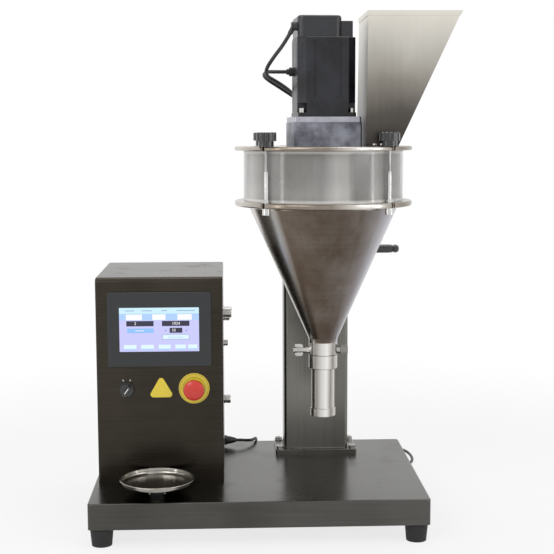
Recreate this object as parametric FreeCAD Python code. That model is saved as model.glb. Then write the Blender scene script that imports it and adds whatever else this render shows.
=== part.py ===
import FreeCAD, Part
import math
import os
from FreeCAD import Vector

# Auger powder filler for a bench. All lengths are in millimetres, +Z is up.
# The pieces are drawn from the front left corner of the base, at floor level,
# with +X to the right and +Y to the back, and moved to the row's origin at the end.

# Sheet metal base tray on four rubber feet
base_width = 640.0
base_depth = 450.0
base_top = 85.0
base_height = 50.0
base_sheet = 2.0
base_corner = 8.0
base_edge_bend = 3.0
base_return = 46.0
foot_radius = 22.0
foot_taper = 3.0
foot_inset = 24.0
foot_bolt_radius = 4.0

# Control cabinet
cabinet_left = 7.0
cabinet_width = 246.0
cabinet_front = 143.0
cabinet_depth = 280.0
cabinet_height = 404.0
cabinet_sheet = 2.0
cabinet_brow = 11.0
cabinet_bend = 3.0
cabinet_lip = 14.0
cover_sheet = 2.0
louvre_count = 8
louvre_pitch = 12.0
louvre_length = 70.0
louvre_rise = 3.0

# Operator panel on the cabinet's front
screen_centre_x = 130.0
screen_centre_z = 388.0
bezel_width = 200.4
bezel_height = 146.5
bezel_proud = 5.0
bezel_corner = 4.0
screen_width = 154.0
screen_height = 86.0
screen_glass = 1.2
screen_recess = 1.6
panel_body_depth = 34.0
panel_body_margin = 5.0

# Emergency stop, selector switch and caution plate
stop_x = 196.0
stop_z = 271.0
stop_disc_radius = 30.0
stop_disc_thick = 1.5
stop_head_radius = 20.0
stop_reach = 29.0
stop_travel = 6.0
selector_x = 65.0
selector_z = 269.0
selector_radius = 15.0
selector_angle = 35.0
switch_barrel_radius = 11.0
plate_x = 132.0
plate_z = 274.0
plate_side = 51.0
plate_thick = 1.0
plate_round = 6.0

# Weighing dish in front of the cabinet
dish_x = 126.0
dish_y = 69.0
dish_radius = 71.5
dish_depth = 12.0
dish_sheet = 1.2
dish_rim_z = 114.0
stem_radius = 14.0
stem_pin_radius = 8.0
cell_length = 130.0
cell_width = 30.0
cell_height = 22.0
cell_spacer = 6.0

# Column, its foot plate and the rack on its back
column_x = 448.5
column_front = 341.0
column_width = 136.0
column_depth = 72.0
column_wall = 3.0
column_corner = 8.0
column_top = 640.0
column_cap_thick = 4.0
foot_plate_width = 172.0
foot_plate_margin = 11.0
foot_plate_thick = 10.0
column_bolt_radius = 4.0
column_bolt_inset = 9.0
gear_module = 2.0
rack_width = 20.0
rack_thick = 12.0
rack_bottom = 455.0
pinion_teeth = 15
pressure_angle = 20.0

# Carriage that slides on the column, with the crank behind it
slide_gap = 3.0
pad_clearance = 0.2
carriage_wall = 3.0
carriage_bottom = 470.0
pad_height = 20.0
pad_levels = [474.0, 528.0]
pinion_z = 540.0
pinion_width = 22.0
shaft_radius = 6.0
cheek_thick = 8.0
cheek_gap = 6.0
housing_height = 64.0
housing_skin = 2.5
cover_head_height = 2.2
crank_arm_x = 541.0
crank_arm_thick = 8.0
crank_radius = 73.0
crank_angle = 195.6
crank_arm_width = 18.0
grip_length = 77.0
grip_radius = 9.0
grip_pin_radius = 4.0

# Head: top plate, clear ring, flange and cone about the auger's axis
axis_y = 150.0
plate_radius = 170.0
top_plate_z = 740.0
top_plate_thick = 8.0
rim_round = 3.4
flange_thick = 10.0
ring_radius = 153.0
ring_wall = 5.0
ring_height = 95.0
gasket_thick = 2.0
cone_top_radius = 142.0
cone_wall = 2.0
neck_z = 366.0
neck_radius = 28.0
rod_circle = 160.0
rod_radius = 4.0
rod_thread_radius = 3.0
rod_slot = 10.0
rod_plain_top = 694.0
rod_lug_height = 12.0
knob_radius = 19.0
knob_hub_radius = 14.0
knob_height = 26.0
knob_hub_height = 10.0
knob_flutes = 8
running_gap = 0.05
seat_gap = 0.3

# Neck socket, thumb screws and filling tube
socket_bottom = 335.0
spigot_radius = 23.5
spigot_top = 352.0
tube_collar_bottom = 308.0
tube_radius = 22.5
tube_wall = 2.0
tube_end_z = 213.0
end_ring_radius = 24.5
end_ring_height = 17.0
thumb_screw_z = 343.5
thumb_screw_radius = 3.0
wing_reach = 30.0
thumb_knob_radius = 10.0
thumb_knob_length = 15.0

# Auger, coupling and stirrer
auger_radius = 19.6
auger_shaft_radius = 8.0
auger_pitch = 38.0
auger_turns = 6
flight_thick = 2.4
auger_start_z = 217.0
coupling_radius = 19.0
coupling_top = 722.0
coupling_bottom = 660.0
stirrer_hub_radius = 16.0
stirrer_hub_height = 26.0
stirrer_hub_z = 596.0
stirrer_gap = 14.0
stirrer_bar = 5.0
stirrer_blade = 16.0
stirrer_low_z = 452.0

# Motor on its seat, turned a little about the auger's axis
motor_clocking = 4.0
seat_width = 128.0
seat_height = 45.0
seat_wall = 8.0
motor_flange_thick = 10.0
motor_width = 110.0
motor_height = 148.0
motor_chamfer = 15.0
motor_pocket = 15.0
motor_pocket_bottom = 8.0
motor_pocket_height = 18.0
motor_shaft_radius = 9.5
cap_width = 83.0
cap_height = 40.0
step_width = 22.0
step_height = 30.0
bearing_radius = 31.0
bearing_height = 18.0

# Powder chute on the top plate
chute_foot_in = 73.0
chute_foot_out = 134.0
chute_top_in = 77.0
chute_top_out = 250.0
chute_front = 70.0
chute_depth = 160.0
chute_height = 248.0
chute_sheet = 1.5
chute_hem = 9.0
chute_tab = 12.0
chute_tab_thick = 2.0
chute_screw_radius = 2.5

# Cables
motor_cable_radius = 3.5
mains_cable_radius = 3.2
gland_radius = 10.0
gland_nut = 5.0
gland_taper = 20.0
coil_x = 548.0
coil_y = 584.0
coil_radius = 35.0
coil_bundle = 7.0
floor_gap = 0.3
plug_width = 44.0
plug_length = 40.0
plug_height = 26.0
plug_pin_radius = 2.4
plug_pin_length = 18.0

# Values that follow from the ones above
up = Vector(0, 0, 1)
right = Vector(1, 0, 0)
back = Vector(0, 1, 0)
cabinet_right = cabinet_left + cabinet_width
cabinet_back = cabinet_front + cabinet_depth
cabinet_top = base_top + cabinet_height
column_left = column_x - column_width / 2
column_right = column_x + column_width / 2
column_back = column_front + column_depth
column_bottom = base_top + foot_plate_thick
pitch_line_y = column_back + rack_thick - gear_module
pinion_radius = gear_module * pinion_teeth / 2
pinion_y = pitch_line_y + pinion_radius
carriage_inner = column_width / 2 + slide_gap
carriage_outer = carriage_inner + carriage_wall
carriage_front = column_front - slide_gap - carriage_wall
carriage_back = column_back + slide_gap + carriage_wall
housing_back = pinion_y + pinion_radius + gear_module + cheek_gap
top_plate_bottom = top_plate_z - top_plate_thick
flange_top = top_plate_bottom - ring_height
flange_bottom = flange_top - flange_thick
seat_top = top_plate_z + seat_height
motor_bottom = seat_top + motor_flange_thick
motor_top = motor_bottom + motor_height
auger_axis = Vector(column_x, axis_y, 0)
cone_slope = (cone_top_radius - neck_radius) / (flange_bottom - neck_z)
knob_seat = top_plate_z + seat_gap

# The origin is the middle of the footprint of all the rigid pieces, at floor level
footprint_right = column_x + chute_top_out + chute_sheet
footprint_front = axis_y - plate_radius
footprint_back = housing_back + housing_skin + cover_head_height
origin = Vector(footprint_right / 2, (footprint_front + footprint_back) / 2, 0)


def block(x0, x1, y0, y1, z0, z1):
    return Part.makeBox(x1 - x0, y1 - y0, z1 - z0, Vector(x0, y0, z0))


def rod(radius, length, start, axis):
    return Part.makeCylinder(radius, length, start, axis)


def pipe(outer, inner, length, start, axis):
    return rod(outer, length, start, axis).cut(rod(inner, length, start, axis))


def turned(profile, centre, axis=up):
    """Solid of revolution: profile is a list of (radius, height along the axis)."""
    points = [Vector(radius, 0, height) for radius, height in profile]
    solid = Part.Face(Part.makePolygon(points + points[:1])).revolve(Vector(), up, 360)
    solid.Placement = FreeCAD.Placement(centre, FreeCAD.Rotation(up, axis))
    return solid


def prism(points, direction):
    return Part.Face(Part.makePolygon(points + points[:1])).extrude(direction)


def edges_where(shape, test):
    return [edge for edge in shape.Edges if test(edge)]


def runs_along(edge, axis):
    if not isinstance(edge.Curve, Part.Line):
        return False
    return abs(abs(edge.tangentAt(edge.FirstParameter).dot(axis)) - 1) < 1e-6


def rounded_block(x0, x1, y0, y1, z0, z1, radius, axis=up):
    solid = block(x0, x1, y0, y1, z0, z1)
    return solid.makeFillet(radius, edges_where(solid, lambda edge: runs_along(edge, axis)))


def hexagon(across_flats, height, start, axis):
    corner = across_flats / math.sqrt(3)
    points = []
    for index in range(6):
        angle = math.radians(60 * index)
        points.append(Vector(corner * math.cos(angle), corner * math.sin(angle), 0))
    solid = prism(points, up * height)
    solid.Placement = FreeCAD.Placement(start, FreeCAD.Rotation(up, axis))
    return solid


def screw(radius, length, seat, axis, head_scale=1.8, head_height=None):
    """Round-headed screw: the head stands on the seat point, along the axis."""
    height = head_height if head_height else radius * 1.3
    head = rod(radius * head_scale, height, seat, axis)
    top = edges_where(head, lambda edge: (edge.CenterOfMass - seat).dot(axis) > height * 0.9)
    head = head.makeFillet(height * 0.4, top[:1])
    return head.fuse(rod(radius, length, seat - axis * length, axis))


def joined(shapes):
    return shapes[0].multiFuse(shapes[1:]).removeSplitter()


def group(shapes):
    return Part.Compound(shapes)


def clocked(shape):
    shape.rotate(auger_axis, up, motor_clocking)
    return shape


def square_points(inset_x, inset_y, x0, x1, y0, y1):
    return [(x, y) for x in (x0 + inset_x, x1 - inset_x) for y in (y0 + inset_y, y1 - inset_y)]


def around_axis(radius, angle, height):
    turn = math.radians(angle)
    return auger_axis + Vector(radius * math.cos(turn), radius * math.sin(turn), height)


# Base

foot_places = square_points(foot_inset, foot_inset, 0, base_width, 0, base_depth)
plate_front = column_front - foot_plate_margin
plate_back = column_back + foot_plate_margin
column_bolt_places = square_points(column_bolt_inset, column_bolt_inset,
                                   column_x - foot_plate_width / 2, column_x + foot_plate_width / 2,
                                   plate_front, plate_back)
base_bottom = base_top - base_height
stiffener_depth = 24.0
stiffener_width = 40.0
stem_hole_radius = stem_radius + 3.0


def base_tray():
    tray = rounded_block(0, base_width, 0, base_depth, base_bottom, base_top, base_corner)
    rim = edges_where(tray, lambda edge: edge.BoundBox.ZMin > base_top - 0.1)
    tray = tray.makeFillet(base_edge_bend, rim)
    hollow = rounded_block(base_sheet, base_width - base_sheet, base_sheet, base_depth - base_sheet,
                           base_bottom + base_sheet, base_top - base_sheet, base_corner - base_sheet)
    opening = rounded_block(base_return, base_width - base_return, base_return, base_depth - base_return,
                            base_bottom - 1, base_bottom + base_sheet + 1, base_corner)
    tray = tray.cut(hollow).cut(opening)
    for x, y in foot_places:
        tray = tray.cut(rod(foot_bolt_radius, 10, Vector(x, y, base_bottom - 1), up))
    for x, y in column_bolt_places:
        tray = tray.cut(rod(column_bolt_radius, 10, Vector(x, y, base_top - 5), up))
    tray = tray.cut(rod(stem_hole_radius, 10, Vector(dish_x, dish_y, base_top - 5), up))
    return joined([tray] + stiffeners())


def stiffeners():
    """Two channels under the tray's top that carry the column's bolts."""
    bars = []
    top = base_top - base_sheet
    for y in (plate_front + column_bolt_inset, plate_back - column_bolt_inset):
        low = y - stiffener_width / 2
        high = y + stiffener_width / 2
        bar = block(base_return, base_width - base_return, low, high, top - stiffener_depth, top)
        inside = block(base_return - 1, base_width, low + base_sheet, high - base_sheet,
                       top - stiffener_depth - 1, top - base_sheet)
        bar = bar.cut(inside)
        for x, hole_y in column_bolt_places:
            bar = bar.cut(rod(column_bolt_radius, 10, Vector(x, hole_y, top - 5), up))
        bars.append(bar)
    return bars


def rubber_feet():
    feet = []
    profile = [(foot_bolt_radius, 8), (foot_bolt_radius * 2.2, 8), (foot_bolt_radius * 2.2, 0),
               (foot_radius - foot_taper, 0), (foot_radius, base_bottom - 3),
               (foot_radius - 1.5, base_bottom), (foot_bolt_radius, base_bottom)]
    for x, y in foot_places:
        feet.append(turned(profile, Vector(x, y, 0)))
    return group(feet)


def foot_bolts():
    """Bolts that hold the rubber feet."""
    bolts = []
    for x, y in foot_places:
        head = rod(foot_bolt_radius * 1.9, 5, Vector(x, y, 3), up)
        shank = rod(foot_bolt_radius - 0.02, base_bottom, Vector(x, y, 3), up)
        nut = hexagon(foot_bolt_radius * 3.2, 6, Vector(x, y, base_bottom + base_sheet), up)
        bolts.append(joined([head, shank, nut]))
    return bolts


# Control cabinet

panel_cut_half_x = bezel_width / 2 - panel_body_margin
panel_cut_half_z = bezel_height / 2 - panel_body_margin
cover_screw_places = [(x, z) for x in (cabinet_left + 8, cabinet_right - 8)
                      for z in (base_top + 12, base_top + cabinet_height / 2, cabinet_top - 12)]
connector_y = 300.0
connector_places = [(connector_y, 397.0, 12.0, 17.0), (connector_y + 34, 384.0, 10.0, 13.0),
                    (connector_y, 333.0, 6.5, 9.0), (connector_y, 214.0, 9.0, 14.0)]
gland_y = 404.0
gland_z = 99.0
switch_clearance = 0.2


def cabinet_shell():
    shell = block(cabinet_left, cabinet_right, cabinet_front, cabinet_back, base_top, cabinet_top)
    brow = edges_where(shell, lambda edge: edge.BoundBox.ZMin > cabinet_top - 0.1
                       and edge.BoundBox.YMax < cabinet_front + 0.1)
    shell = shell.makeFillet(cabinet_brow, brow)
    sides = edges_where(shell, lambda edge: edge.Length > cabinet_height * 0.6
                        and edge.BoundBox.YMax < cabinet_front + 1 and runs_along(edge, up))
    shell = shell.makeFillet(cabinet_bend, sides)
    hollow = block(cabinet_left + cabinet_sheet, cabinet_right - cabinet_sheet,
                   cabinet_front + cabinet_sheet, cabinet_back - cabinet_sheet,
                   base_top + cabinet_sheet, cabinet_top - cabinet_sheet)
    inner_brow = edges_where(hollow, lambda edge: edge.BoundBox.ZMin > cabinet_top - cabinet_sheet - 0.1
                             and edge.BoundBox.YMax < cabinet_front + cabinet_sheet + 0.1)
    hollow = hollow.makeFillet(cabinet_brow - cabinet_sheet, inner_brow)
    doorway = block(cabinet_left + cabinet_lip, cabinet_right - cabinet_lip,
                    cabinet_back - cabinet_sheet - 1, cabinet_back + 1,
                    base_top + cabinet_lip, cabinet_top - cabinet_lip)
    shell = shell.cut(hollow).cut(doorway)
    shell = shell.cut(block(screen_centre_x - panel_cut_half_x, screen_centre_x + panel_cut_half_x,
                            cabinet_front - 1, cabinet_front + cabinet_sheet + 1,
                            screen_centre_z - panel_cut_half_z, screen_centre_z + panel_cut_half_z))
    for x, z in ((stop_x, stop_z), (selector_x, selector_z)):
        shell = shell.cut(rod(switch_barrel_radius + switch_clearance, cabinet_sheet + 2,
                              Vector(x, cabinet_front - 1, z), back))
    for y, z, radius, length in connector_places:
        shell = shell.cut(rod(radius * 0.8, cabinet_sheet + 2, Vector(cabinet_right - cabinet_sheet - 1, y, z), right))
    shell = shell.cut(rod(gland_radius * 0.75, cabinet_sheet + 2,
                          Vector(cabinet_right - cabinet_sheet - 1, gland_y, gland_z), right))
    for x, z in cover_screw_places:
        shell = shell.cut(rod(2.0, cabinet_sheet + 2, Vector(x, cabinet_back - cabinet_sheet - 1, z), back))
    return shell


def rear_cover():
    cover = rounded_block(cabinet_left + 1, cabinet_right - 1, cabinet_back, cabinet_back + cover_sheet,
                          base_top + 2, cabinet_top - 2, 4.0, back)
    middle = cabinet_left + cabinet_width / 2
    for side in (-1, 1):
        for row in range(louvre_count):
            x = middle + side * (louvre_length / 2 + 12)
            z = cabinet_top - 60 - row * louvre_pitch
            slot = rounded_block(x - louvre_length / 2, x + louvre_length / 2, cabinet_back - 1,
                                 cabinet_back + cover_sheet + 1, z, z + louvre_rise, louvre_rise * 0.45, back)
            cover = cover.cut(slot)
    for x, z in cover_screw_places:
        cover = cover.cut(rod(2.0, cover_sheet + 2, Vector(x, cabinet_back - 1, z), back))
    return cover


def cover_screws():
    seat = cabinet_back + cover_sheet
    return group([screw(1.98, cover_sheet + cabinet_sheet + 4, Vector(x, seat, z), back)
                  for x, z in cover_screw_places])


def screen_bezel():
    half_x = bezel_width / 2
    half_z = bezel_height / 2
    front = cabinet_front - bezel_proud
    frame = rounded_block(screen_centre_x - half_x, screen_centre_x + half_x, front, cabinet_front,
                          screen_centre_z - half_z, screen_centre_z + half_z, bezel_corner, back)
    rim = edges_where(frame, lambda edge: edge.BoundBox.YMax < front + 0.1)
    frame = frame.makeFillet(1.5, rim)
    body = rounded_block(screen_centre_x - panel_cut_half_x + 1, screen_centre_x + panel_cut_half_x - 1,
                         cabinet_front - 1, cabinet_front + panel_body_depth,
                         screen_centre_z - panel_cut_half_z + 1, screen_centre_z + panel_cut_half_z - 1, 3.0, back)
    window = block(screen_centre_x - screen_width / 2, screen_centre_x + screen_width / 2,
                   front - 1, front + screen_recess,
                   screen_centre_z - screen_height / 2, screen_centre_z + screen_height / 2)
    return joined([frame, body]).cut(window)


def screen_glass_pane():
    back_face = cabinet_front - bezel_proud + screen_recess
    return block(screen_centre_x - screen_width / 2 + 0.1, screen_centre_x + screen_width / 2 - 0.1,
                 back_face - screen_glass, back_face,
                 screen_centre_z - screen_height / 2 + 0.1, screen_centre_z + screen_height / 2 - 0.1)


stop_collar_proud = 11.0
stop_stem_radius = 7.0
stop_barrel_depth = 22.0
selector_proud = 5.0
selector_hub_radius = 7.0
selector_barrel_depth = 22.0


def stop_disc():
    disc = rod(stop_disc_radius, stop_disc_thick, Vector(stop_x, cabinet_front - stop_disc_thick, stop_z), back)
    return disc.cut(rod(switch_barrel_radius + switch_clearance, stop_disc_thick + 2,
                        Vector(stop_x, cabinet_front - stop_disc_thick - 1, stop_z), back))


def stop_collar():
    """Collar in front of the yellow disc, barrel through the panel and its ring nut."""
    front = stop_collar_proud
    disc_face = front - stop_disc_thick
    profile = [(stop_stem_radius, 0), (13, 0), (14, 1.2), (14, disc_face), (switch_barrel_radius, disc_face),
               (switch_barrel_radius, front + cabinet_sheet), (switch_barrel_radius + 4, front + cabinet_sheet),
               (switch_barrel_radius + 4, front + cabinet_sheet + 4),
               (switch_barrel_radius, front + cabinet_sheet + 4),
               (switch_barrel_radius, front + stop_barrel_depth), (stop_stem_radius, front + stop_barrel_depth)]
    return turned(profile, Vector(stop_x, cabinet_front - front, stop_z), back)


def stop_plunger():
    """Round stem that slides in the collar, with the nose that carries the head."""
    radius = stop_stem_radius - running_gap
    start = cabinet_front - stop_reach + 6.1
    length = stop_reach - 6 + stop_barrel_depth - stop_travel - 2
    nose = rod(4.0, 8, Vector(stop_x, start, stop_z), back)
    return joined([nose, rod(radius, length - 5, Vector(stop_x, start + 5, stop_z), back)])


def stop_head():
    """Mushroom head: domed front, hollow back and a socket on the plunger's nose."""
    depth = stop_reach - stop_collar_proud - stop_travel - 1.0
    rise = 4.5
    front = Vector(stop_x, cabinet_front - stop_reach, stop_z)
    edge = stop_head_radius
    outline = [Vector(0, 0, 0), Vector(edge, 0, rise), Vector(edge, 0, depth), Vector(edge - 3, 0, depth),
               Vector(edge - 3, 0, depth - 3), Vector(9, 0, depth - 3), Vector(9, 0, depth - 1),
               Vector(4 + running_gap, 0, depth - 1), Vector(4 + running_gap, 0, 6), Vector(0, 0, 6)]
    dome = Part.Arc(outline[0], Vector(edge * 0.62, 0, rise * 0.32), Vector(edge - 1.5, 0, rise * 0.86)).toShape()
    lip = Part.Arc(Vector(edge - 1.5, 0, rise * 0.86), Vector(edge - 0.3, 0, rise + 0.9),
                   Vector(edge, 0, rise + 2.4)).toShape()
    rest = Part.makePolygon([Vector(edge, 0, rise + 2.4)] + outline[2:] + outline[:1])
    face = Part.Face(Part.Wire([dome, lip] + rest.Edges))
    head = face.revolve(Vector(), up, 360)
    head.Placement = FreeCAD.Placement(front, FreeCAD.Rotation(up, back))
    for index in range(3):
        angle = math.radians(120 * index + 30)
        spot = front + Vector(math.cos(angle), 0, math.sin(angle)) * (edge + 1.2)
        head = head.cut(rod(2.2, depth - rise - 3, spot + back * (rise + 2), back))
    return head


def selector_bezel():
    profile = [(selector_hub_radius, 0), (selector_radius - 1.5, 0), (selector_radius, 1.5),
               (selector_radius, selector_proud), (switch_barrel_radius, selector_proud),
               (switch_barrel_radius, selector_proud + cabinet_sheet),
               (switch_barrel_radius + 4, selector_proud + cabinet_sheet),
               (switch_barrel_radius + 4, selector_proud + cabinet_sheet + 4),
               (switch_barrel_radius, selector_proud + cabinet_sheet + 4),
               (switch_barrel_radius, selector_proud + selector_barrel_depth),
               (selector_hub_radius, selector_proud + selector_barrel_depth)]
    return turned(profile, Vector(selector_x, cabinet_front - selector_proud, selector_z), back)


def selector_knob():
    """Turning knob: a disc with a raised finger bar and the shaft behind it."""
    face = cabinet_front - selector_proud - seat_gap
    centre = Vector(selector_x, face, selector_z)
    disc = rod(selector_radius - 2.5, 4, centre - back * 4, back)
    bar = rounded_block(-selector_radius + 3.5, selector_radius - 3.5, -15, -3, -3.5, 3.5, 2.5, back)
    bar.rotate(Vector(), back, selector_angle - 90)
    bar.translate(centre)
    shaft = rod(selector_hub_radius - running_gap, 18, centre - back, back)
    return joined([disc, bar, shaft])


def contact_blocks():
    """Contact blocks that close the back of the two switch barrels."""
    blocks = []
    for x, z in ((stop_x, stop_z), (selector_x, selector_z)):
        start = cabinet_front + stop_barrel_depth
        body = rounded_block(x - 15, x + 15, start, start + 30, z - 20, z + 20, 1.5, back)
        screws = [rod(2.5, 1.2, Vector(x + side * 9, start + 30, z + 13), back) for side in (-1, 1)]
        blocks.append(joined([body] + screws))
    return group(blocks)


def caution_plate():
    """Plain triangular plate with rounded corners."""
    height = plate_side * math.sqrt(3) / 2
    low = plate_z - height * 0.46
    points = [Vector(plate_x - plate_side / 2, cabinet_front - plate_thick, low),
              Vector(plate_x + plate_side / 2, cabinet_front - plate_thick, low),
              Vector(plate_x, cabinet_front - plate_thick, low + height)]
    plate = prism(points, back * plate_thick)
    return plate.makeFillet(plate_round, edges_where(plate, lambda edge: runs_along(edge, back)))


def side_connectors():
    """Round panel sockets with screwed caps on the cabinet's right wall."""
    sockets = []
    for y, z, radius, length in connector_places:
        profile = [(0, -8), (radius * 0.78, -8), (radius * 0.78, 0), (radius, 0), (radius, 3), (radius * 0.86, 3),
                   (radius * 0.86, 5), (radius * 0.97, 5), (radius * 0.97, length - 1.5),
                   (radius * 0.85, length), (0, length)]
        sockets.append(turned(profile, Vector(cabinet_right, y, z), right))
    return group(sockets)


def mains_gland():
    """Cable gland: hexagon seat, tapered strain relief and the stub inside the wall."""
    start = Vector(cabinet_right, gland_y, gland_z)
    end = gland_nut + gland_taper
    seat = hexagon(gland_radius * 1.85, gland_nut, start, right)
    nut = turned([(0, gland_nut), (gland_radius * 0.88, gland_nut), (gland_radius * 0.84, gland_nut + 6),
                  (mains_cable_radius + 1.4, end), (0, end)], start, right)
    stub = rod(gland_radius * 0.72, 12, start - right * 12, right)
    ring = hexagon(gland_radius * 1.85, 4, start - right * (cabinet_sheet + 4), right)
    bore = rod(mains_cable_radius, gland_taper - 6, start + right * (gland_nut + 7), right)
    return joined([seat, nut, stub, ring]).cut(bore)


# Weighing dish

dish_floor = dish_rim_z - dish_depth
cell_top = base_top - base_sheet - cell_spacer


def weigh_dish():
    """Spun pan with a rounded corner, a rolled rim and a socket under its floor."""
    corner = 7.0
    outer = dish_radius
    low = dish_floor
    wall = dish_sheet
    socket = stem_pin_radius + running_gap
    bend = 0.7071
    pieces = [
        Part.LineSegment(Vector(0, 0, low + wall), Vector(outer - corner - 3, 0, low + wall)),
        Part.Arc(Vector(outer - corner - 3, 0, low + wall),
                 Vector(outer - 3 - corner + (corner - wall) * bend, 0, low + corner - (corner - wall) * bend),
                 Vector(outer - 3 - wall, 0, low + corner)),
        Part.LineSegment(Vector(outer - 3 - wall, 0, low + corner), Vector(outer - 2.2 - wall, 0, dish_rim_z - 1)),
        Part.Arc(Vector(outer - 2.2 - wall, 0, dish_rim_z - 1), Vector(outer - 1.6, 0, dish_rim_z),
                 Vector(outer, 0, dish_rim_z - 1.4)),
        Part.LineSegment(Vector(outer, 0, dish_rim_z - 1.4), Vector(outer - 2.2, 0, dish_rim_z - 2)),
        Part.LineSegment(Vector(outer - 2.2, 0, dish_rim_z - 2), Vector(outer - 3, 0, low + corner)),
        Part.Arc(Vector(outer - 3, 0, low + corner),
                 Vector(outer - 3 - corner + corner * bend, 0, low + corner - corner * bend),
                 Vector(outer - corner - 3, 0, low)),
        Part.LineSegment(Vector(outer - corner - 3, 0, low), Vector(stem_radius, 0, low)),
        Part.LineSegment(Vector(stem_radius, 0, low), Vector(stem_radius, 0, low - 5)),
        Part.LineSegment(Vector(stem_radius, 0, low - 5), Vector(socket, 0, low - 5)),
        Part.LineSegment(Vector(socket, 0, low - 5), Vector(socket, 0, low)),
        Part.LineSegment(Vector(socket, 0, low), Vector(0, 0, low)),
        Part.LineSegment(Vector(0, 0, low), Vector(0, 0, low + wall))]
    face = Part.Face(Part.Wire([piece.toShape() for piece in pieces]))
    dish = face.revolve(Vector(), up, 360)
    dish.translate(Vector(dish_x, dish_y, 0))
    return dish


def dish_stem():
    """Stem that stands on the load cell and carries the dish on its pin."""
    low = cell_top
    seat = dish_floor - 5 - 0.05
    profile = [(0, low), (stem_radius, low), (stem_radius, seat), (stem_pin_radius, seat),
               (stem_pin_radius, dish_floor - 0.05), (0, dish_floor - 0.05)]
    return turned(profile, Vector(dish_x, dish_y, 0))


def load_cell():
    """Bar load cell with its double hole, hung from the tray's top at its far end."""
    low = cell_top - cell_height
    start = dish_x - 15
    bar = block(start, start + cell_length, dish_y - cell_width / 2, dish_y + cell_width / 2, low, cell_top)
    middle = start + cell_length / 2
    centre_z = low + cell_height / 2
    for shift in (-12, 12):
        bar = bar.cut(rod(7.5, cell_width + 2, Vector(middle + shift, dish_y - cell_width / 2 - 1, centre_z), back))
    bar = bar.cut(block(middle - 12, middle + 12, dish_y - cell_width, dish_y + cell_width,
                        centre_z - 2, centre_z + 2))
    spacer = block(start + cell_length - 32, start + cell_length, dish_y - cell_width / 2,
                   dish_y + cell_width / 2, cell_top, base_top - base_sheet)
    return joined([bar, spacer])


# Column and rack


def column_foot():
    plate = rounded_block(column_x - foot_plate_width / 2, column_x + foot_plate_width / 2,
                          plate_front, plate_back, base_top, column_bottom, 4.0)
    top = edges_where(plate, lambda edge: edge.BoundBox.ZMin > column_bottom - 0.1)
    plate = plate.makeFillet(1.2, top)
    for x, y in column_bolt_places:
        plate = plate.cut(rod(column_bolt_radius, foot_plate_thick + 2, Vector(x, y, base_top - 1), up))
    return plate


def column_bolts():
    """Hexagon bolts with washers and nuts through the foot plate and the tray."""
    bolts = []
    for x, y in column_bolt_places:
        seat = Vector(x, y, column_bottom)
        washer = rod(column_bolt_radius * 2.0, 1.6, seat, up)
        head = hexagon(column_bolt_radius * 3.25, 5.3, seat + up * 1.6, up)
        shank = rod(column_bolt_radius - 0.02, 22, seat - up * 22, up)
        low = base_top - 2 * base_sheet - 6.5
        nut = hexagon(column_bolt_radius * 3.25, 6.5, Vector(x, y, low), up)
        bolts.append(joined([washer, head, shank, nut]))
    return bolts


def column_tube():
    """Rounded square tube with a welded cap."""
    tube = rounded_block(column_left, column_right, column_front, column_back,
                         column_bottom, column_top, column_corner)
    hollow = rounded_block(column_left + column_wall, column_right - column_wall,
                           column_front + column_wall, column_back - column_wall,
                           column_bottom - 1, column_top - column_cap_thick, column_corner - column_wall)
    return tube.cut(hollow)


def rack():
    """Straight rack with full-depth teeth, screwed to the column's back."""
    pitch = math.pi * gear_module
    lean = math.tan(math.radians(pressure_angle))
    half = pitch / 4 - 0.04
    tip_y = column_back + rack_thick
    root_y = tip_y - 2.25 * gear_module
    tip_half = half - gear_module * lean
    root_half = half + 1.25 * gear_module * lean
    first = pinion_z - pitch / 2 - math.floor((pinion_z - pitch / 2 - rack_bottom - pitch / 2) / pitch) * pitch
    teeth = int((column_top - pitch / 2 - first) / pitch) + 1
    points = [Vector(0, column_back, rack_bottom), Vector(0, root_y, rack_bottom)]
    for index in range(teeth):
        middle = first + index * pitch
        points += [Vector(0, root_y, middle - root_half), Vector(0, tip_y, middle - tip_half),
                   Vector(0, tip_y, middle + tip_half), Vector(0, root_y, middle + root_half)]
    points += [Vector(0, root_y, column_top), Vector(0, column_back, column_top)]
    bar = prism(points, right * rack_width)
    bar.translate(right * (column_x - rack_width / 2))
    return bar


# Carriage, pinion and crank

rack_slot = rack_width / 2 + 3.0
housing_low = pinion_z - housing_height / 2
housing_high = pinion_z + housing_height / 2
cheek_inner = pinion_width / 2 + cheek_gap
cheek_outer = cheek_inner + cheek_thick
housing_flange = 14.0


def carriage():
    """Folded sleeve round the column, closed on top by the head plate."""
    sleeve = rounded_block(column_x - carriage_outer, column_x + carriage_outer, carriage_front, carriage_back,
                           carriage_bottom, top_plate_bottom, column_corner + slide_gap)
    hollow = rounded_block(column_x - carriage_inner, column_x + carriage_inner,
                           carriage_front + carriage_wall, carriage_back - carriage_wall,
                           carriage_bottom - 1, top_plate_bottom + 1, column_corner + slide_gap - carriage_wall)
    slot = block(column_x - rack_slot, column_x + rack_slot, column_back, carriage_back + 1,
                 carriage_bottom - 1, top_plate_bottom - 20)
    return sleeve.cut(hollow).cut(slot)


def guide_pads():
    """Slippery pads between the sleeve and the column, on two levels."""
    pads = []
    reach_x = column_width / 2 - column_corner - 2
    near = pad_clearance
    far = slide_gap
    for low in pad_levels:
        high = low + pad_height
        pads.append(block(column_x - reach_x, column_x + reach_x, column_front - far, column_front - near, low, high))
        for side in (-1, 1):
            edge = column_x + side * column_width / 2
            pads.append(block(min(edge + side * near, edge + side * far), max(edge + side * near, edge + side * far),
                              column_front + column_corner + 2, column_back - column_corner - 2, low, high))
            inner = column_x + side * (rack_slot + 2)
            outer = column_x + side * reach_x
            pads.append(block(min(inner, outer), max(inner, outer), column_back + near, column_back + far, low, high))
    return group(pads)


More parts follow.
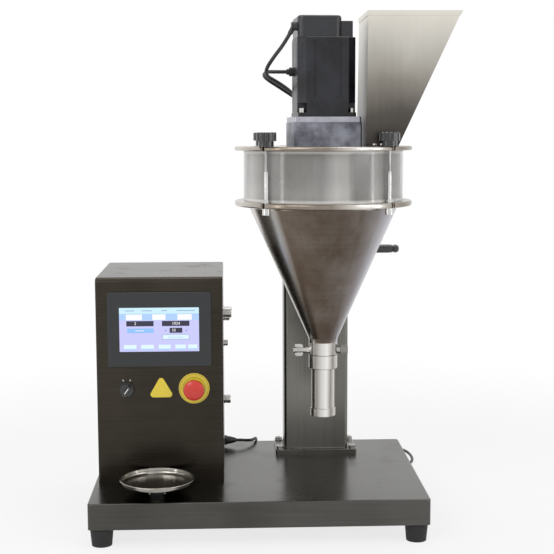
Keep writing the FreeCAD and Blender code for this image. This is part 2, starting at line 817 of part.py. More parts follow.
def gear_housing():
    """Two bearing cheeks with a folded back, flanged on to the sleeve's slot."""
    y0 = carriage_back
    parts = []
    for side in (-1, 1):
        inner = column_x + side * cheek_inner
        outer = column_x + side * cheek_outer
        flange = column_x + side * (cheek_outer + housing_flange)
        parts.append(block(min(inner, outer), max(inner, outer), y0, housing_back, housing_low, housing_high))
        parts.append(block(min(outer, flange), max(outer, flange), y0, y0 + 4, housing_low, housing_high))
    cover = rounded_block(column_x - cheek_outer, column_x + cheek_outer, housing_back, housing_back + housing_skin,
                          housing_low, housing_high, 3.0, back)
    housing = joined(parts + [cover])
    start = Vector(column_x - cheek_outer - 2, pinion_y, pinion_z)
    bosses = []
    for side in (-1, 1):
        face = column_x + side * cheek_outer
        bosses.append(rod(13, 4, Vector(face if side > 0 else face - 4, pinion_y, pinion_z), right))
    housing = joined([housing] + bosses)
    return housing.cut(rod(shaft_radius + running_gap, 2 * cheek_outer + 20, start - right * 6, right))


def housing_screws():
    screws = []
    for side in (-1, 1):
        for z in (housing_low + 9, housing_high - 9):
            seat = Vector(column_x + side * (cheek_outer + housing_flange / 2), carriage_back + 4, z)
            screws.append(rod(4.4, 3.6, seat, back))
            cover_seat = Vector(column_x + side * (cheek_inner + cheek_thick / 2), housing_back + housing_skin, z)
            screws.append(rod(3.2, cover_head_height, cover_seat, back))
    return screws


def involute_point(base, angle):
    return Vector(0, base * (math.sin(angle) - angle * math.cos(angle)), base * (math.cos(angle) + angle * math.sin(angle)))


def pinion():
    """Involute pinion in mesh with the rack, on its shaft through both cheeks."""
    base = pinion_radius * math.cos(math.radians(pressure_angle))
    tip = pinion_radius + gear_module
    root = pinion_radius - 1.25 * gear_module
    tip_roll = math.sqrt((tip / base) ** 2 - 1)
    pitch_roll = math.sqrt((pinion_radius / base) ** 2 - 1)
    pitch_turn = pitch_roll - math.atan(pitch_roll)
    half_tooth = math.pi / (2 * pinion_teeth) - 0.04 / pinion_radius
    points = []
    steps = 4
    for tooth in range(pinion_teeth):
        middle = 2 * math.pi * tooth / pinion_teeth
        flank = []
        for step in range(steps + 1):
            roll = tip_roll * step / steps
            radius = base * math.sqrt(1 + roll ** 2)
            turn = roll - math.atan(roll)
            flank.append((radius, half_tooth + pitch_turn - turn))
        points.append((root, middle - half_tooth - pitch_turn))
        points += [(radius, middle - offset) for radius, offset in flank]
        points += [(radius, middle + offset) for radius, offset in reversed(flank)]
        points.append((root, middle + half_tooth + pitch_turn))
    outline = [Vector(0, -radius * math.cos(angle), radius * math.sin(angle)) for radius, angle in points]
    gear = prism(outline, right * pinion_width)
    gear.translate(Vector(column_x - pinion_width / 2, pinion_y, pinion_z))
    left_end = column_x - cheek_outer - 6
    shaft = rod(shaft_radius, crank_arm_x + crank_arm_thick + 2 - left_end,
                Vector(left_end, pinion_y, pinion_z), right)
    return joined([gear, shaft])


crank_turn = math.radians(crank_angle)
grip_y = pinion_y + crank_radius * math.cos(crank_turn)
grip_z = pinion_z + crank_radius * math.sin(crank_turn)


def crank_arm():
    """Flat arm with round ends: a hub on the shaft and the grip's pin at the far end."""
    hub = rod(crank_arm_width * 0.72, crank_arm_thick, Vector(crank_arm_x, pinion_y, pinion_z), right)
    end = rod(crank_arm_width / 2, crank_arm_thick, Vector(crank_arm_x, grip_y, grip_z), right)
    bar = block(0, crank_arm_thick, 0, crank_radius, -crank_arm_width / 2, crank_arm_width / 2)
    bar.rotate(Vector(), right, crank_angle)
    bar.translate(Vector(crank_arm_x, pinion_y, pinion_z))
    pin = rod(grip_pin_radius, grip_length - 4, Vector(crank_arm_x + crank_arm_thick - 1, grip_y, grip_z), right)
    arm = joined([hub, end, bar])
    arm = arm.cut(rod(shaft_radius, crank_arm_thick + 2, Vector(crank_arm_x - 1, pinion_y, pinion_z), right))
    return joined([arm, pin])


def crank_grip():
    """Revolving handle: swollen middle, ring groove near its rounded end."""
    start = crank_arm_x + crank_arm_thick + seat_gap
    radius = grip_radius
    length = grip_length
    bore = grip_pin_radius + running_gap
    profile = [(bore, 0), (radius * 0.78, 0), (radius * 0.9, 3), (radius, 14), (radius, length - 22),
               (radius * 0.93, length - 14), (radius * 0.8, length - 13), (radius * 0.8, length - 11),
               (radius * 0.95, length - 10), (radius * 0.95, length - 4), (radius * 0.6, length), (0, length),
               (0, length - 3), (bore, length - 3)]
    return turned(profile, Vector(start, grip_y, grip_z), right)


# Head plates, ring and cone


def slotted(plate, low, high):
    """Open slots in the rim for the four tie rods."""
    for index in range(4):
        angle = 45 + 90 * index
        centre = around_axis(rod_circle, angle, low - 1)
        bore = rod(rod_slot / 2, high - low + 2, centre, up)
        gap = block(0, 40, -rod_slot / 2, rod_slot / 2, 0, high - low + 2)
        gap.rotate(Vector(), up, angle)
        gap.translate(centre)
        plate = plate.cut(bore).cut(gap)
    return plate


chute_hole_in = chute_foot_in + 3.0
chute_hole_out = 124.0
chute_hole_half = chute_depth / 2 - 10
tail_half = carriage_outer
plate_screw_places = [(column_x + side * (tail_half - 16), y) for side in (-1, 1)
                      for y in (carriage_front - 30, carriage_front - 80)]


def top_plate():
    """Round cover with a tail that sits on the carriage."""
    disc = rod(plate_radius, top_plate_thick, auger_axis + up * top_plate_bottom, up)
    tail = rounded_block(column_x - tail_half, column_x + tail_half, axis_y, carriage_back,
                         top_plate_bottom, top_plate_z, column_corner + slide_gap)
    plate = joined([disc, tail])
    rim = edges_where(plate, lambda edge: edge.BoundBox.ZLength < 0.01)
    plate = plate.makeFillet(rim_round, rim)
    plate = slotted(plate, top_plate_bottom, top_plate_z)
    plate = plate.cut(rod(bearing_radius, 20, auger_axis + up * (top_plate_z - 15), up))
    hole = rounded_block(column_x + chute_hole_in, column_x + chute_hole_out, axis_y - chute_hole_half,
                         axis_y + chute_hole_half, top_plate_bottom - 1, top_plate_z + 1, 4.0)
    return plate.cut(hole)


def bottom_flange():
    disc = rod(plate_radius, flange_thick, auger_axis + up * flange_bottom, up)
    disc = disc.makeFillet(rim_round, edges_where(disc, lambda edge: edge.BoundBox.ZLength < 0.01))
    disc = slotted(disc, flange_bottom, flange_top)
    return disc.cut(rod(cone_top_radius - cone_wall, flange_thick + 2, auger_axis + up * (flange_bottom - 1), up))


def ring_gaskets():
    inner = ring_radius - ring_wall - 0.5
    outer = ring_radius
    return group([pipe(outer, inner, gasket_thick, auger_axis + up * flange_top, up),
                  pipe(outer, inner, gasket_thick, auger_axis + up * (top_plate_bottom - gasket_thick), up)])


def clear_ring():
    return pipe(ring_radius, ring_radius - ring_wall, ring_height - 2 * gasket_thick,
                auger_axis + up * (flange_top + gasket_thick), up)


def hopper_cone():
    """Spun cone from the flange down to the neck."""
    slant = cone_wall * math.sqrt(1 + cone_slope ** 2)
    profile = [(cone_top_radius - cone_wall, flange_bottom), (cone_top_radius, flange_bottom),
               (cone_top_radius, flange_bottom - 4), (neck_radius + cone_slope * 2, neck_z + 2),
               (neck_radius, neck_z - 2), (neck_radius, neck_z - 6), (neck_radius - slant, neck_z - 6),
               (neck_radius - slant, neck_z), (cone_top_radius - slant - cone_slope * 4, flange_bottom - 8)]
    return turned(profile, auger_axis)


def tie_rods():
    """Rods with a plain lower part, a thread above and a hooked lug under the flange."""
    rods = []
    low = flange_bottom - rod_lug_height
    for index in range(4):
        foot = around_axis(rod_circle, 45 + 90 * index, low)
        plain = rod(rod_radius, rod_plain_top - low, foot, up)
        thread = rod(rod_thread_radius, knob_seat + knob_height - 6 - low, foot, up)
        lug = rod(rod_radius * 1.9, rod_lug_height - seat_gap, foot, up)
        nut = hexagon(rod_radius * 2.75, 6, around_axis(rod_circle, 45 + 90 * index, flange_top + 0.1), up)
        rods.append(joined([plain, thread, lug, nut]))
    return group(rods)


def star_knob(index):
    """Two-tier fluted knob on a tie rod."""
    seat = around_axis(rod_circle, 45 + 90 * index, knob_seat)
    hub = rod(knob_hub_radius, knob_hub_height + 1, seat, up)
    head = rod(knob_radius, knob_height - knob_hub_height, seat + up * knob_hub_height, up)
    for flute in range(knob_flutes):
        angle = math.radians(360 * flute / knob_flutes)
        reach = knob_radius + 1.6
        spot = seat + Vector(reach * math.cos(angle), reach * math.sin(angle), knob_hub_height - 1)
        head = head.cut(rod(4.2, knob_height, spot, up))
    top_z = seat.z + knob_height
    head = head.makeChamfer(1.4, edges_where(head, lambda edge: edge.BoundBox.ZMin > top_z - 0.01))
    bore = rod(rod_thread_radius + running_gap, knob_height - 5, seat - up, up)
    return joined([hub, head]).cut(bore)


# Neck and filling tube


def neck_socket():
    """Clamping socket welded to the cone, with two bosses for the thumb screws."""
    bore = spigot_radius + running_gap
    top = neck_z - 6
    profile = [(bore, socket_bottom), (neck_radius - 1, socket_bottom), (neck_radius, socket_bottom + 1),
               (neck_radius, top), (auger_radius + 1.4, top), (auger_radius + 1.4, spigot_top + seat_gap),
               (bore, spigot_top + seat_gap)]
    socket = turned(profile, auger_axis)
    for side in (-1, 1):
        boss = rod(7, neck_radius + 5, auger_axis + up * thumb_screw_z, right * side)
        socket = socket.fuse(boss)
    socket = socket.cut(rod(bore, spigot_top + seat_gap - socket_bottom, auger_axis + up * socket_bottom, up))
    tunnel = rod(thumb_screw_radius + running_gap, 2 * neck_radius + 20,
                 auger_axis + up * thumb_screw_z - right * (neck_radius + 10), right)
    return socket.cut(tunnel).removeSplitter()


thumb_seat = neck_radius + 5 + seat_gap


def wing_screw():
    """Left thumb screw: a shank, a round hub and two flat wings."""
    start = auger_axis + up * thumb_screw_z
    tip = spigot_radius + seat_gap
    shank = rod(thumb_screw_radius, thumb_seat - tip + 4, start - right * tip, right * -1)
    hub = rod(5.5, wing_reach - thumb_seat + neck_radius, start - right * thumb_seat, right * -1)
    far = column_x - thumb_seat - 6
    wings = rounded_block(far - 16, far, axis_y - 2, axis_y + 2, thumb_screw_z - 12, thumb_screw_z + 12, 5.0, back)
    notch = rod(6.5, 6, Vector(far - 16, axis_y - 3, thumb_screw_z), back)
    return joined([shank, hub, wings.cut(notch)])


def thumb_knob():
    """Right thumb screw with a round fluted knob."""
    start = auger_axis + up * thumb_screw_z
    tip = spigot_radius + seat_gap
    shank = rod(thumb_screw_radius, thumb_seat - tip + 4, start + right * tip, right)
    knob = rod(thumb_knob_radius, thumb_knob_length, start + right * thumb_seat, right)
    ends = edges_where(knob, lambda edge: edge.BoundBox.XLength < 0.01)
    knob = knob.makeFillet(1.5, ends)
    for flute in range(12):
        angle = math.radians(30 * flute)
        spot = start + right * (thumb_seat + 3) + Vector(0, math.cos(angle), math.sin(angle)) * (thumb_knob_radius + 0.6)
        knob = knob.cut(rod(1.4, thumb_knob_length, spot, right))
    return joined([shank, knob])


def filling_tube():
    """Spigot in the socket, collar below it, thin tube and the ring at its end."""
    bore = tube_radius - tube_wall
    profile = [(bore, tube_end_z), (end_ring_radius - 1, tube_end_z), (end_ring_radius, tube_end_z + 1),
               (end_ring_radius, tube_end_z + end_ring_height - 1), (end_ring_radius - 1, tube_end_z + end_ring_height),
               (tube_radius, tube_end_z + end_ring_height), (tube_radius, tube_collar_bottom),
               (neck_radius - 1, tube_collar_bottom), (neck_radius, tube_collar_bottom + 1),
               (neck_radius, socket_bottom - seat_gap), (spigot_radius, socket_bottom - seat_gap),
               (spigot_radius, spigot_top), (bore, spigot_top)]
    return turned(profile, auger_axis)


# Auger, stirrer and drive


def helicoid(inner, outer, pitch, turns, thick, steps=18):
    """Screw flight as a closed shell of flat facets between two helices."""
    rings = []
    for index in range(turns * steps + 1):
        angle = 2 * math.pi * index / steps
        ray = Vector(math.cos(angle), math.sin(angle), 0)
        low = up * (pitch * index / steps)
        rings.append([ray * inner + low, ray * outer + low, ray * outer + low + up * thick,
                      ray * inner + low + up * thick])
    triangles = []
    for near, far in zip(rings, rings[1:]):
        for corner in range(4):
            following = (corner + 1) % 4
            triangles.append((near[corner], near[following], far[following]))
            triangles.append((near[corner], far[following], far[corner]))
    for ring in (rings[0], rings[-1]):
        triangles.append((ring[0], ring[1], ring[2]))
        triangles.append((ring[0], ring[2], ring[3]))
    faces = [Part.Face(Part.makePolygon([a, b, c, a])) for a, b, c in triangles]
    shell = Part.makeShell(faces)
    solid = Part.makeSolid(shell)
    if solid.Volume < 0:
        solid.reverse()
    return solid


def auger():
    """Straight shaft and the flight welded round it."""
    chord_sag = 1 - math.cos(math.pi / 18)
    inner = (auger_shaft_radius + 0.02) / (1 - chord_sag)
    flight = helicoid(inner, auger_radius, auger_pitch, auger_turns, flight_thick)
    flight.translate(auger_axis + up * (auger_start_z + 1))
    length = coupling_bottom + 24 - auger_start_z
    return group([rod(auger_shaft_radius, length, auger_axis + up * auger_start_z, up), flight])


def stirrer():
    """Hub with two arms and blades that follow the cone's wall."""
    hub = pipe(stirrer_hub_radius, auger_shaft_radius, stirrer_hub_height, auger_axis + up * stirrer_hub_z, up)
    arm_z = stirrer_hub_z + 6
    parts = [hub]

    def wall_radius(z):
        return cone_top_radius - cone_slope * (flange_bottom - z) - stirrer_gap

    high = arm_z + stirrer_blade
    outer_high = wall_radius(high)
    outer_low = wall_radius(stirrer_low_z)
    for side in (-1, 1):
        points = [(stirrer_hub_radius - 3, arm_z), (stirrer_hub_radius - 3, high), (outer_high, high),
                  (outer_low, stirrer_low_z), (outer_low - stirrer_blade, stirrer_low_z),
                  (outer_high - stirrer_blade - 6, arm_z)]
        outline = [Vector(side * radius, -stirrer_bar / 2, z) for radius, z in points]
        frame = prism(outline, back * stirrer_bar)
        frame.translate(auger_axis)
        parts.append(frame)
    return joined(parts)


def shaft_coupling():
    """Clamp coupling in two halves with four screws, under the top plate."""
    body = pipe(coupling_radius, auger_shaft_radius, coupling_top - coupling_bottom,
                auger_axis + up * coupling_bottom, up)
    body = body.cut(rod(motor_shaft_radius, coupling_top - coupling_bottom - 26,
                        auger_axis + up * (coupling_bottom + 26), up))
    for side in (-1, 1):
        slit = block(column_x + side * coupling_radius - 9, column_x + side * coupling_radius + 9,
                     axis_y - 0.8, axis_y + 0.8, coupling_bottom - 1, coupling_top + 1)
        body = body.cut(slit)
    for level in (coupling_bottom + 10, coupling_bottom + 24, coupling_bottom + 38, coupling_bottom + 52):
        head = rod(4.2, 6, Vector(column_x + 13, axis_y - coupling_radius + 1, level), back)
        body = body.cut(head)
    return body


def coupling_screws():
    screws = []
    for level in (coupling_bottom + 10, coupling_bottom + 24, coupling_bottom + 38, coupling_bottom + 52):
        screws.append(rod(3.6, 4, Vector(column_x + 13, axis_y - coupling_radius + 3, level), back))
    return group(screws)


def drive_shaft():
    """Motor shaft from the motor's face through the bearing into the coupling."""
    low = coupling_bottom + 27
    return rod(motor_shaft_radius, motor_bottom - seat_gap - low, auger_axis + up * low, up)


def bearing_housing():
    """Flanged bearing in the plate's centre with a lip seal below."""
    bore = motor_shaft_radius + running_gap
    top = top_plate_z + 6
    profile = [(bore, top_plate_bottom - 5), (18, top_plate_bottom - 5), (20, top_plate_bottom - 3),
               (20, top_plate_bottom), (bearing_radius, top_plate_bottom), (bearing_radius, top_plate_z),
               (bearing_radius + 9, top_plate_z), (bearing_radius + 9, top), (bore, top)]
    return turned(profile, auger_axis)


# Motor and seat


def centred_block(width, low, high, chamfer=0.0):
    half = width / 2
    solid = block(column_x - half, column_x + half, axis_y - half, axis_y + half, low, high)
    if chamfer:
        solid = solid.makeChamfer(chamfer, edges_where(solid, lambda edge: runs_along(edge, up)))
    return solid


def motor_seat():
    """Square box between the plate and the motor's flange."""
    box = centred_block(seat_width, top_plate_z, seat_top)
    box = box.makeFillet(3.0, edges_where(box, lambda edge: runs_along(edge, up)))
    return clocked(box.cut(centred_block(seat_width - 2 * seat_wall, top_plate_z - 1, seat_top + 1)))


def motor_flange():
    flange = centred_block(seat_width - 2, seat_top, motor_bottom)
    flange = flange.makeFillet(4.0, edges_where(flange, lambda edge: runs_along(edge, up)))
    return clocked(flange.cut(rod(35, 20, auger_axis + up * (seat_top - 5), up)))


motor_screw_shift = motor_width / 2 - motor_pocket / 2
pocket_low = motor_bottom + motor_pocket_bottom
pocket_high = pocket_low + motor_pocket_height


def motor_body():
    """Square motor: chamfered corners, screw pockets over its foot and shallow side grooves."""
    body = centred_block(motor_width, pocket_low, motor_top, motor_chamfer)
    foot = centred_block(motor_width, motor_bottom, pocket_low)
    foot = foot.makeFillet(5.0, edges_where(foot, lambda edge: runs_along(edge, up)))
    body = joined([body, foot])
    for side_x in (-1, 1):
        for side_y in (-1, 1):
            x = column_x + side_x * motor_screw_shift
            y = axis_y + side_y * motor_screw_shift
            half = motor_pocket / 2 + 1
            body = body.cut(block(x - half, x + half, y - half, y + half, pocket_low, pocket_high))
    for index in range(4):
        groove = block(-2, 2, -1.5, 1.5, pocket_high + 10, motor_top - 8)
        for shift in (-24, 24):
            cutter = groove.copy()
            cutter.translate(Vector(shift, -motor_width / 2, 0))
            cutter.rotate(Vector(), up, 90 * index)
            cutter.translate(auger_axis)
            body = body.cut(cutter)
    top = edges_where(body, lambda edge: edge.BoundBox.ZMin > motor_top - 0.01 and edge.Length > 15)
    body = body.makeChamfer(1.5, top)
    return clocked(body)


def motor_screws():
    screws = []
    for side_x in (-1, 1):
        for side_y in (-1, 1):
            seat = auger_axis + Vector(side_x * motor_screw_shift, side_y * motor_screw_shift, pocket_low)
            head = rod(5.0, 8, seat, up).cut(hexagon(4.5, 5, seat + up * 4, up))
            screws.append(clocked(head))
    return screws


cap_left = column_x - motor_width / 2 + 1
cap_front = axis_y - motor_width / 2 + 8
cap_back = axis_y + motor_width / 2 - 8


def encoder_cap():
    """Encoder cover with rounded shoulders on the motor's back end."""
    cap = block(cap_left, cap_left + cap_width, cap_front, cap_back, motor_top, motor_top + cap_height)
    cap = cap.makeFillet(12.0, edges_where(cap, lambda edge: runs_along(edge, up)))
    top = edges_where(cap, lambda edge: edge.BoundBox.ZMin > motor_top + cap_height - 0.1)
    return clocked(joined([cap.makeFillet(5.0, top), cap_step()]))


def cap_step():
    """Lower terminal step beside the encoder cover."""
    low_x = cap_left + cap_width
    step = block(low_x - 1, low_x + step_width, cap_front + 10, cap_back - 10, motor_top, motor_top + step_height)
    edges = edges_where(step, lambda edge: edge.BoundBox.XMin > low_x + 1 and runs_along(edge, up))
    return step.makeFillet(3.5, edges)


encoder_plug_z = motor_top + 20
power_plug_z = motor_top - 62
encoder_exit = Vector(-0.5, 0, -0.866)
clocked_exit = FreeCAD.Rotation(up, motor_clocking).multVec(encoder_exit)
encoder_plug_seat = Vector(cap_left, cap_front + 16, encoder_plug_z)
power_plug_seat = Vector(column_x - motor_width / 2, axis_y + 12, power_plug_z)


def cable_plugs():
    """Round plugs of the two motor cables: one on the cap, one on the motor's side."""
    left = right * -1
    encoder = rod(8.0, 11, encoder_plug_seat, left)
    elbow = rod(4.6, 14, encoder_plug_seat + left * 6 + encoder_exit * 2, encoder_exit)
    power = rod(8.5, 9, power_plug_seat, left)
    nose = rod(5.5, 5, power_plug_seat + left * 9, left)
    return [clocked(joined([encoder, elbow])), clocked(joined([power, nose]))]


def turned_with_head(point):
    """Place of a point that is clocked with the motor."""
    spin = FreeCAD.Rotation(up, motor_clocking)
    return spin.multVec(point - auger_axis) + auger_axis


def arc_route(points):
    """Path of straight runs joined by tangent arcs, with its smallest radius."""
    pieces = []
    radii = []
    start = points[0]
    for index in range(1, len(points) - 1):
        before = points[index] - points[index - 1]
        after = points[index + 1] - points[index]
        turn = before.getAngle(after)
        shorter = min(before.Length, after.Length)
        radius = 0.45 * shorter / math.tan(turn / 2)
        reach = 0.45 * shorter
        into = points[index] - before.normalize() * reach
        out = points[index] + after.normalize() * reach
        chord = (into + out) * 0.5
        inward = (chord - points[index]).normalize()
        depth = radius / math.cos(turn / 2) - radius
        pieces.append(Part.LineSegment(start, into).toShape())
        pieces.append(Part.Arc(into, points[index] + inward * depth, out).toShape())
        radii.append(radius)
        start = out
    pieces.append(Part.LineSegment(start, points[-1]).toShape())
    return Part.Wire(pieces), radii


def cable(name, points, radius):
    """Round cable along a route, with a printed check of its radii and volume."""
    path, radii = arc_route(points)
    section = Part.Wire([Part.Circle(points[0], points[1] - points[0], radius).toShape()])
    solid = path.makePipeShell([section], True, True)
    ratio = solid.Volume / (math.pi * radius ** 2 * path.Length)
    print(name, "length", round(path.Length), "radii", [round(value) for value in radii],
          "volume ratio", round(ratio, 4))
    return solid


gland_x = column_x - 16
power_gland_x = column_x + 8
gland_row_y = 318.0
gland_top = top_plate_z + 22


def plate_glands():
    """Two small glands on the plate's tail, where the motor cables go down."""
    glands = []
    for x in (gland_x, power_gland_x):
        base = Vector(x, gland_row_y, top_plate_z)
        nut = hexagon(16.5, 6, base, up)
        dome = turned([(0, 6), (8, 6), (8, 15), (5.2, gland_top - top_plate_z), (0, gland_top - top_plate_z)], base)
        body = joined([nut, dome])
        glands.append(body.cut(rod(motor_cable_radius, 8, Vector(x, gland_row_y, gland_top - 7.9), up)))
    return glands


encoder_start = turned_with_head(encoder_plug_seat + right * -6 + encoder_exit * 16)
power_start = turned_with_head(power_plug_seat - right * 14)
encoder_route = [encoder_start, encoder_start + clocked_exit * 22, Vector(352, 98, 905), Vector(338, 117, 884),
                 Vector(340, 146, 873), Vector(356, 175, 866), Vector(374, 203, 857), Vector(391, 231, 846),
                 Vector(404, 259, 834), Vector(416, 286, 818), Vector(427, 306, 797),
                 Vector(gland_x, gland_row_y, 778), Vector(gland_x, gland_row_y, gland_top - 7.9)]
clocked_left = FreeCAD.Rotation(up, motor_clocking).multVec(right * -1)
power_route = [power_start, power_start + clocked_left * 22, Vector(341, 170, 882), Vector(335, 190, 876),
               Vector(345, 211, 868), Vector(363, 232, 858), Vector(384, 254, 846), Vector(404, 272, 834),
               Vector(424, 288, 820), Vector(441, 302, 804), Vector(452, 312, 788),
               Vector(power_gland_x, gland_row_y, 773), Vector(power_gland_x, gland_row_y, gland_top - 7.9)]


# Chute


def chute_outline(grow):
    """Corners of the chute's front face, grown outwards by a wall."""
    slant = grow * math.hypot(chute_height, chute_top_out - chute_foot_out) / chute_height
    return [Vector(column_x + chute_foot_in - grow, 0, top_plate_z),
            Vector(column_x + chute_foot_out + slant, 0, top_plate_z),
            Vector(column_x + chute_top_out + slant, 0, top_plate_z + chute_height),
            Vector(column_x + chute_top_in - grow, 0, top_plate_z + chute_height)]


chute_screw_places = [Vector(column_x + x, y, top_plate_z + chute_tab_thick)
                      for x in (chute_foot_in + 16, chute_foot_out - 32)
                      for y in (chute_front - chute_tab / 2, chute_front + chute_depth + chute_tab / 2)]


def chute():
    """Open wedge of folded sheet with a hemmed rim and two foot tabs."""
    front = chute_front
    rear = chute_front + chute_depth
    wall = chute_sheet
    outer = prism([point + back * front for point in chute_outline(0)], back * chute_depth)
    inner = prism([point + back * (front + wall) for point in chute_outline(-wall)], back * (chute_depth - 2 * wall))
    hem = prism([point + back * (front - wall) for point in chute_outline(wall)], back * (chute_depth + 2 * wall))
    top = top_plate_z + chute_height
    bounds = hem.BoundBox
    hem = hem.common(block(bounds.XMin, bounds.XMax, bounds.YMin, bounds.YMax, top - chute_hem, top))
    tabs = []
    for y in (front - chute_tab, rear):
        tabs.append(block(column_x + chute_foot_in + 4, column_x + chute_foot_out - 4, y, y + chute_tab,
                          top_plate_z, top_plate_z + chute_tab_thick))
    shell = joined([outer, hem] + tabs).cut(inner)
    for place in chute_screw_places:
        shell = shell.cut(rod(chute_screw_radius, chute_tab_thick + 2, place - up * (chute_tab_thick + 1), up))
    return shell


def chute_screws():
    return [screw(chute_screw_radius - 0.02, chute_tab_thick, place, up) for place in chute_screw_places]


# Mains lead, laid behind the base

floor_z = mains_cable_radius + floor_gap
plug_z = plug_height / 2 + floor_gap
coil_side = coil_x + coil_radius + mains_cable_radius
mains_out = [Vector(cabinet_right + gland_nut + 7, gland_y, gland_z),
             Vector(cabinet_right + 34, gland_y, gland_z),
             Vector(303, 411, 96), Vector(315, 427, 93), Vector(321, 447, 92), Vector(323, 467, 85),
             Vector(324, 481, 68), Vector(325, 489, 46), Vector(328, 499, 24), Vector(337, 517, 9),
             Vector(352, 543, floor_z), Vector(376, 583, floor_z), Vector(412, 620, floor_z),
             Vector(459, 650, floor_z), Vector(513, 668, floor_z), Vector(570, 678, floor_z),
             Vector(625, 683, floor_z), Vector(664, 678, floor_z), Vector(684, 658, floor_z),
             Vector(693, 622, floor_z), Vector(694, 582, floor_z), Vector(687, 548, floor_z),
             Vector(669, 520, floor_z), Vector(646, 506, floor_z), Vector(620, 507, floor_z),
             Vector(600, 521, floor_z), Vector(589, 542, floor_z), Vector(coil_side - 0.5, 566, floor_z)]
mains_tail = [Vector(coil_x - coil_radius - 2.5, 578, 9), Vector(509, 558, 8.5), Vector(500, 539, 9),
              Vector(483, 527, 11), Vector(463, 523, plug_z), Vector(443, 523, plug_z)]


def mains_cable():
    return group([cable("mains lead", mains_out, mains_cable_radius),
                  cable("mains tail", mains_tail, mains_cable_radius)])


def mains_coil():
    """Outer shape of the coiled length, tied as a hank."""
    return Part.makeTorus(coil_radius, coil_bundle, Vector(coil_x, coil_y, coil_bundle + floor_gap))


def mains_plug():
    """Moulded plug with three round pins, lying on the floor."""
    body = block(-plug_length, 0, -plug_width / 2, plug_width / 2, -plug_height / 2, plug_height / 2)
    body = body.makeFillet(6.0, edges_where(body, lambda edge: runs_along(edge, right)))
    relief = turned([(0, 0), (7.5, 0), (5.2, 18), (0, 18)], Vector(), right)
    pins = []
    for y, z in ((-9.5, -5.5), (9.5, -5.5), (0, 7)):
        pin = rod(plug_pin_radius, plug_pin_length, Vector(-plug_length, y, z), right * -1)
        pins.append(pin)
    plug = joined([body, relief] + pins)
    plug.translate(mains_tail[-1] - right * 18)
    return plug


def build():
    shapes = {
        "base_tray": base_tray(), "rubber_feet": rubber_feet(), "base_bolts": group(foot_bolts() + column_bolts()),
        "cabinet_shell": cabinet_shell(), "rear_cover": rear_cover(), "cover_screws": cover_screws(),
        "screen_bezel": screen_bezel(), "screen_glass": screen_glass_pane(), "stop_disc": stop_disc(),
        "stop_collar": stop_collar(), "stop_plunger": stop_plunger(), "stop_head": stop_head(),
        "selector_bezel": selector_bezel(), "selector_knob": selector_knob(), "contact_blocks": contact_blocks(),
        "caution_plate": caution_plate(), "side_connectors": side_connectors(), "mains_gland": mains_gland(),
        "weigh_dish": weigh_dish(), "dish_stem": dish_stem(), "load_cell": load_cell(),
        "column_foot": column_foot(), "column_tube": column_tube(), "rack": rack(), "carriage": carriage(),
        "guide_pads": guide_pads(), "gear_housing": gear_housing(), "pinion": pinion(), "crank_arm": crank_arm(),
        "crank_grip": crank_grip(), "top_plate": top_plate(), "bottom_flange": bottom_flange(),
        "ring_gaskets": ring_gaskets(), "clear_ring": clear_ring(), "hopper_cone": hopper_cone(),
        "tie_rods": tie_rods(), "neck_socket": neck_socket(), "wing_screw": wing_screw(),
        "thumb_knob": thumb_knob(), "filling_tube": filling_tube(), "auger": auger(), "stirrer": stirrer(),
        "shaft_coupling": shaft_coupling(), "drive_shaft": drive_shaft(), "bearing_housing": bearing_housing(),
        "motor_seat": motor_seat(), "motor_flange": motor_flange(), "motor_body": motor_body(),
        "encoder_cap": encoder_cap(), "chute": chute(),
        "head_screws": group(housing_screws() + motor_screws() + chute_screws()),
        "cable_fittings": group(cable_plugs() + plate_glands()),
        "motor_cables": group([cable("encoder cable", encoder_route, motor_cable_radius),
                               cable("power cable", power_route, motor_cable_radius)]),
        "mains_cable": mains_cable(), "mains_coil": mains_coil(), "mains_plug": mains_plug(),
    }
    for index in range(4):
        shapes["star_knob_%d" % (index + 1)] = star_knob(index)
    return shapes


os.makedirs("parts", exist_ok=True)
pieces = build()
for name, shape in pieces.items():
    shape.translate(-origin)
    if not shape.isValid() or shape.Volume <= 0:
        print("check", name, shape.isValid(), round(shape.Volume, 1))
    shape.exportStep("parts/%s.step" % name)
print(len(pieces), "pieces, origin at", origin)
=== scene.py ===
import math

import bmesh
import bpy
from mathutils import Matrix, Vector


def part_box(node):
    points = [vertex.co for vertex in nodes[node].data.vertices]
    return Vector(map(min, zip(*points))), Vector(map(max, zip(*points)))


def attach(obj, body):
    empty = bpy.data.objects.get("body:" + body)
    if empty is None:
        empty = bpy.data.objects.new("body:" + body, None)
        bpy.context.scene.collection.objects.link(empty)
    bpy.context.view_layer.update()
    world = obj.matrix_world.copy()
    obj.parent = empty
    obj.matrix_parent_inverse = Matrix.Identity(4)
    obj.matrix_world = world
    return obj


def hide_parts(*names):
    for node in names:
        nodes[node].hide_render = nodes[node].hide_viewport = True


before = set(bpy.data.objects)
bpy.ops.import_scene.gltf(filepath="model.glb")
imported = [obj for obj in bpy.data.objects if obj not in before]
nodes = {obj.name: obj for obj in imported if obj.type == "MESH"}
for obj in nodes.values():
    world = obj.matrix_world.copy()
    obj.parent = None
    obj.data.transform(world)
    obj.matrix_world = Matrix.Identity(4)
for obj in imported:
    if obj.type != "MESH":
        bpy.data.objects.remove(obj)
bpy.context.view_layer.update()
scene = bpy.context.scene
mm = 0.001
upward = Vector((0, 0, 1))
toFront = Vector((0, -1, 0))
print("frame loaded:", len(nodes), "nodes")


# camera

cameraLook = {"place": (-0.082, -2.3858, 0.763), "lens": 77.98, "sensor": 36.0, "yaw": 2.25, "pitch": 6.79,
              "roll": -0.20}


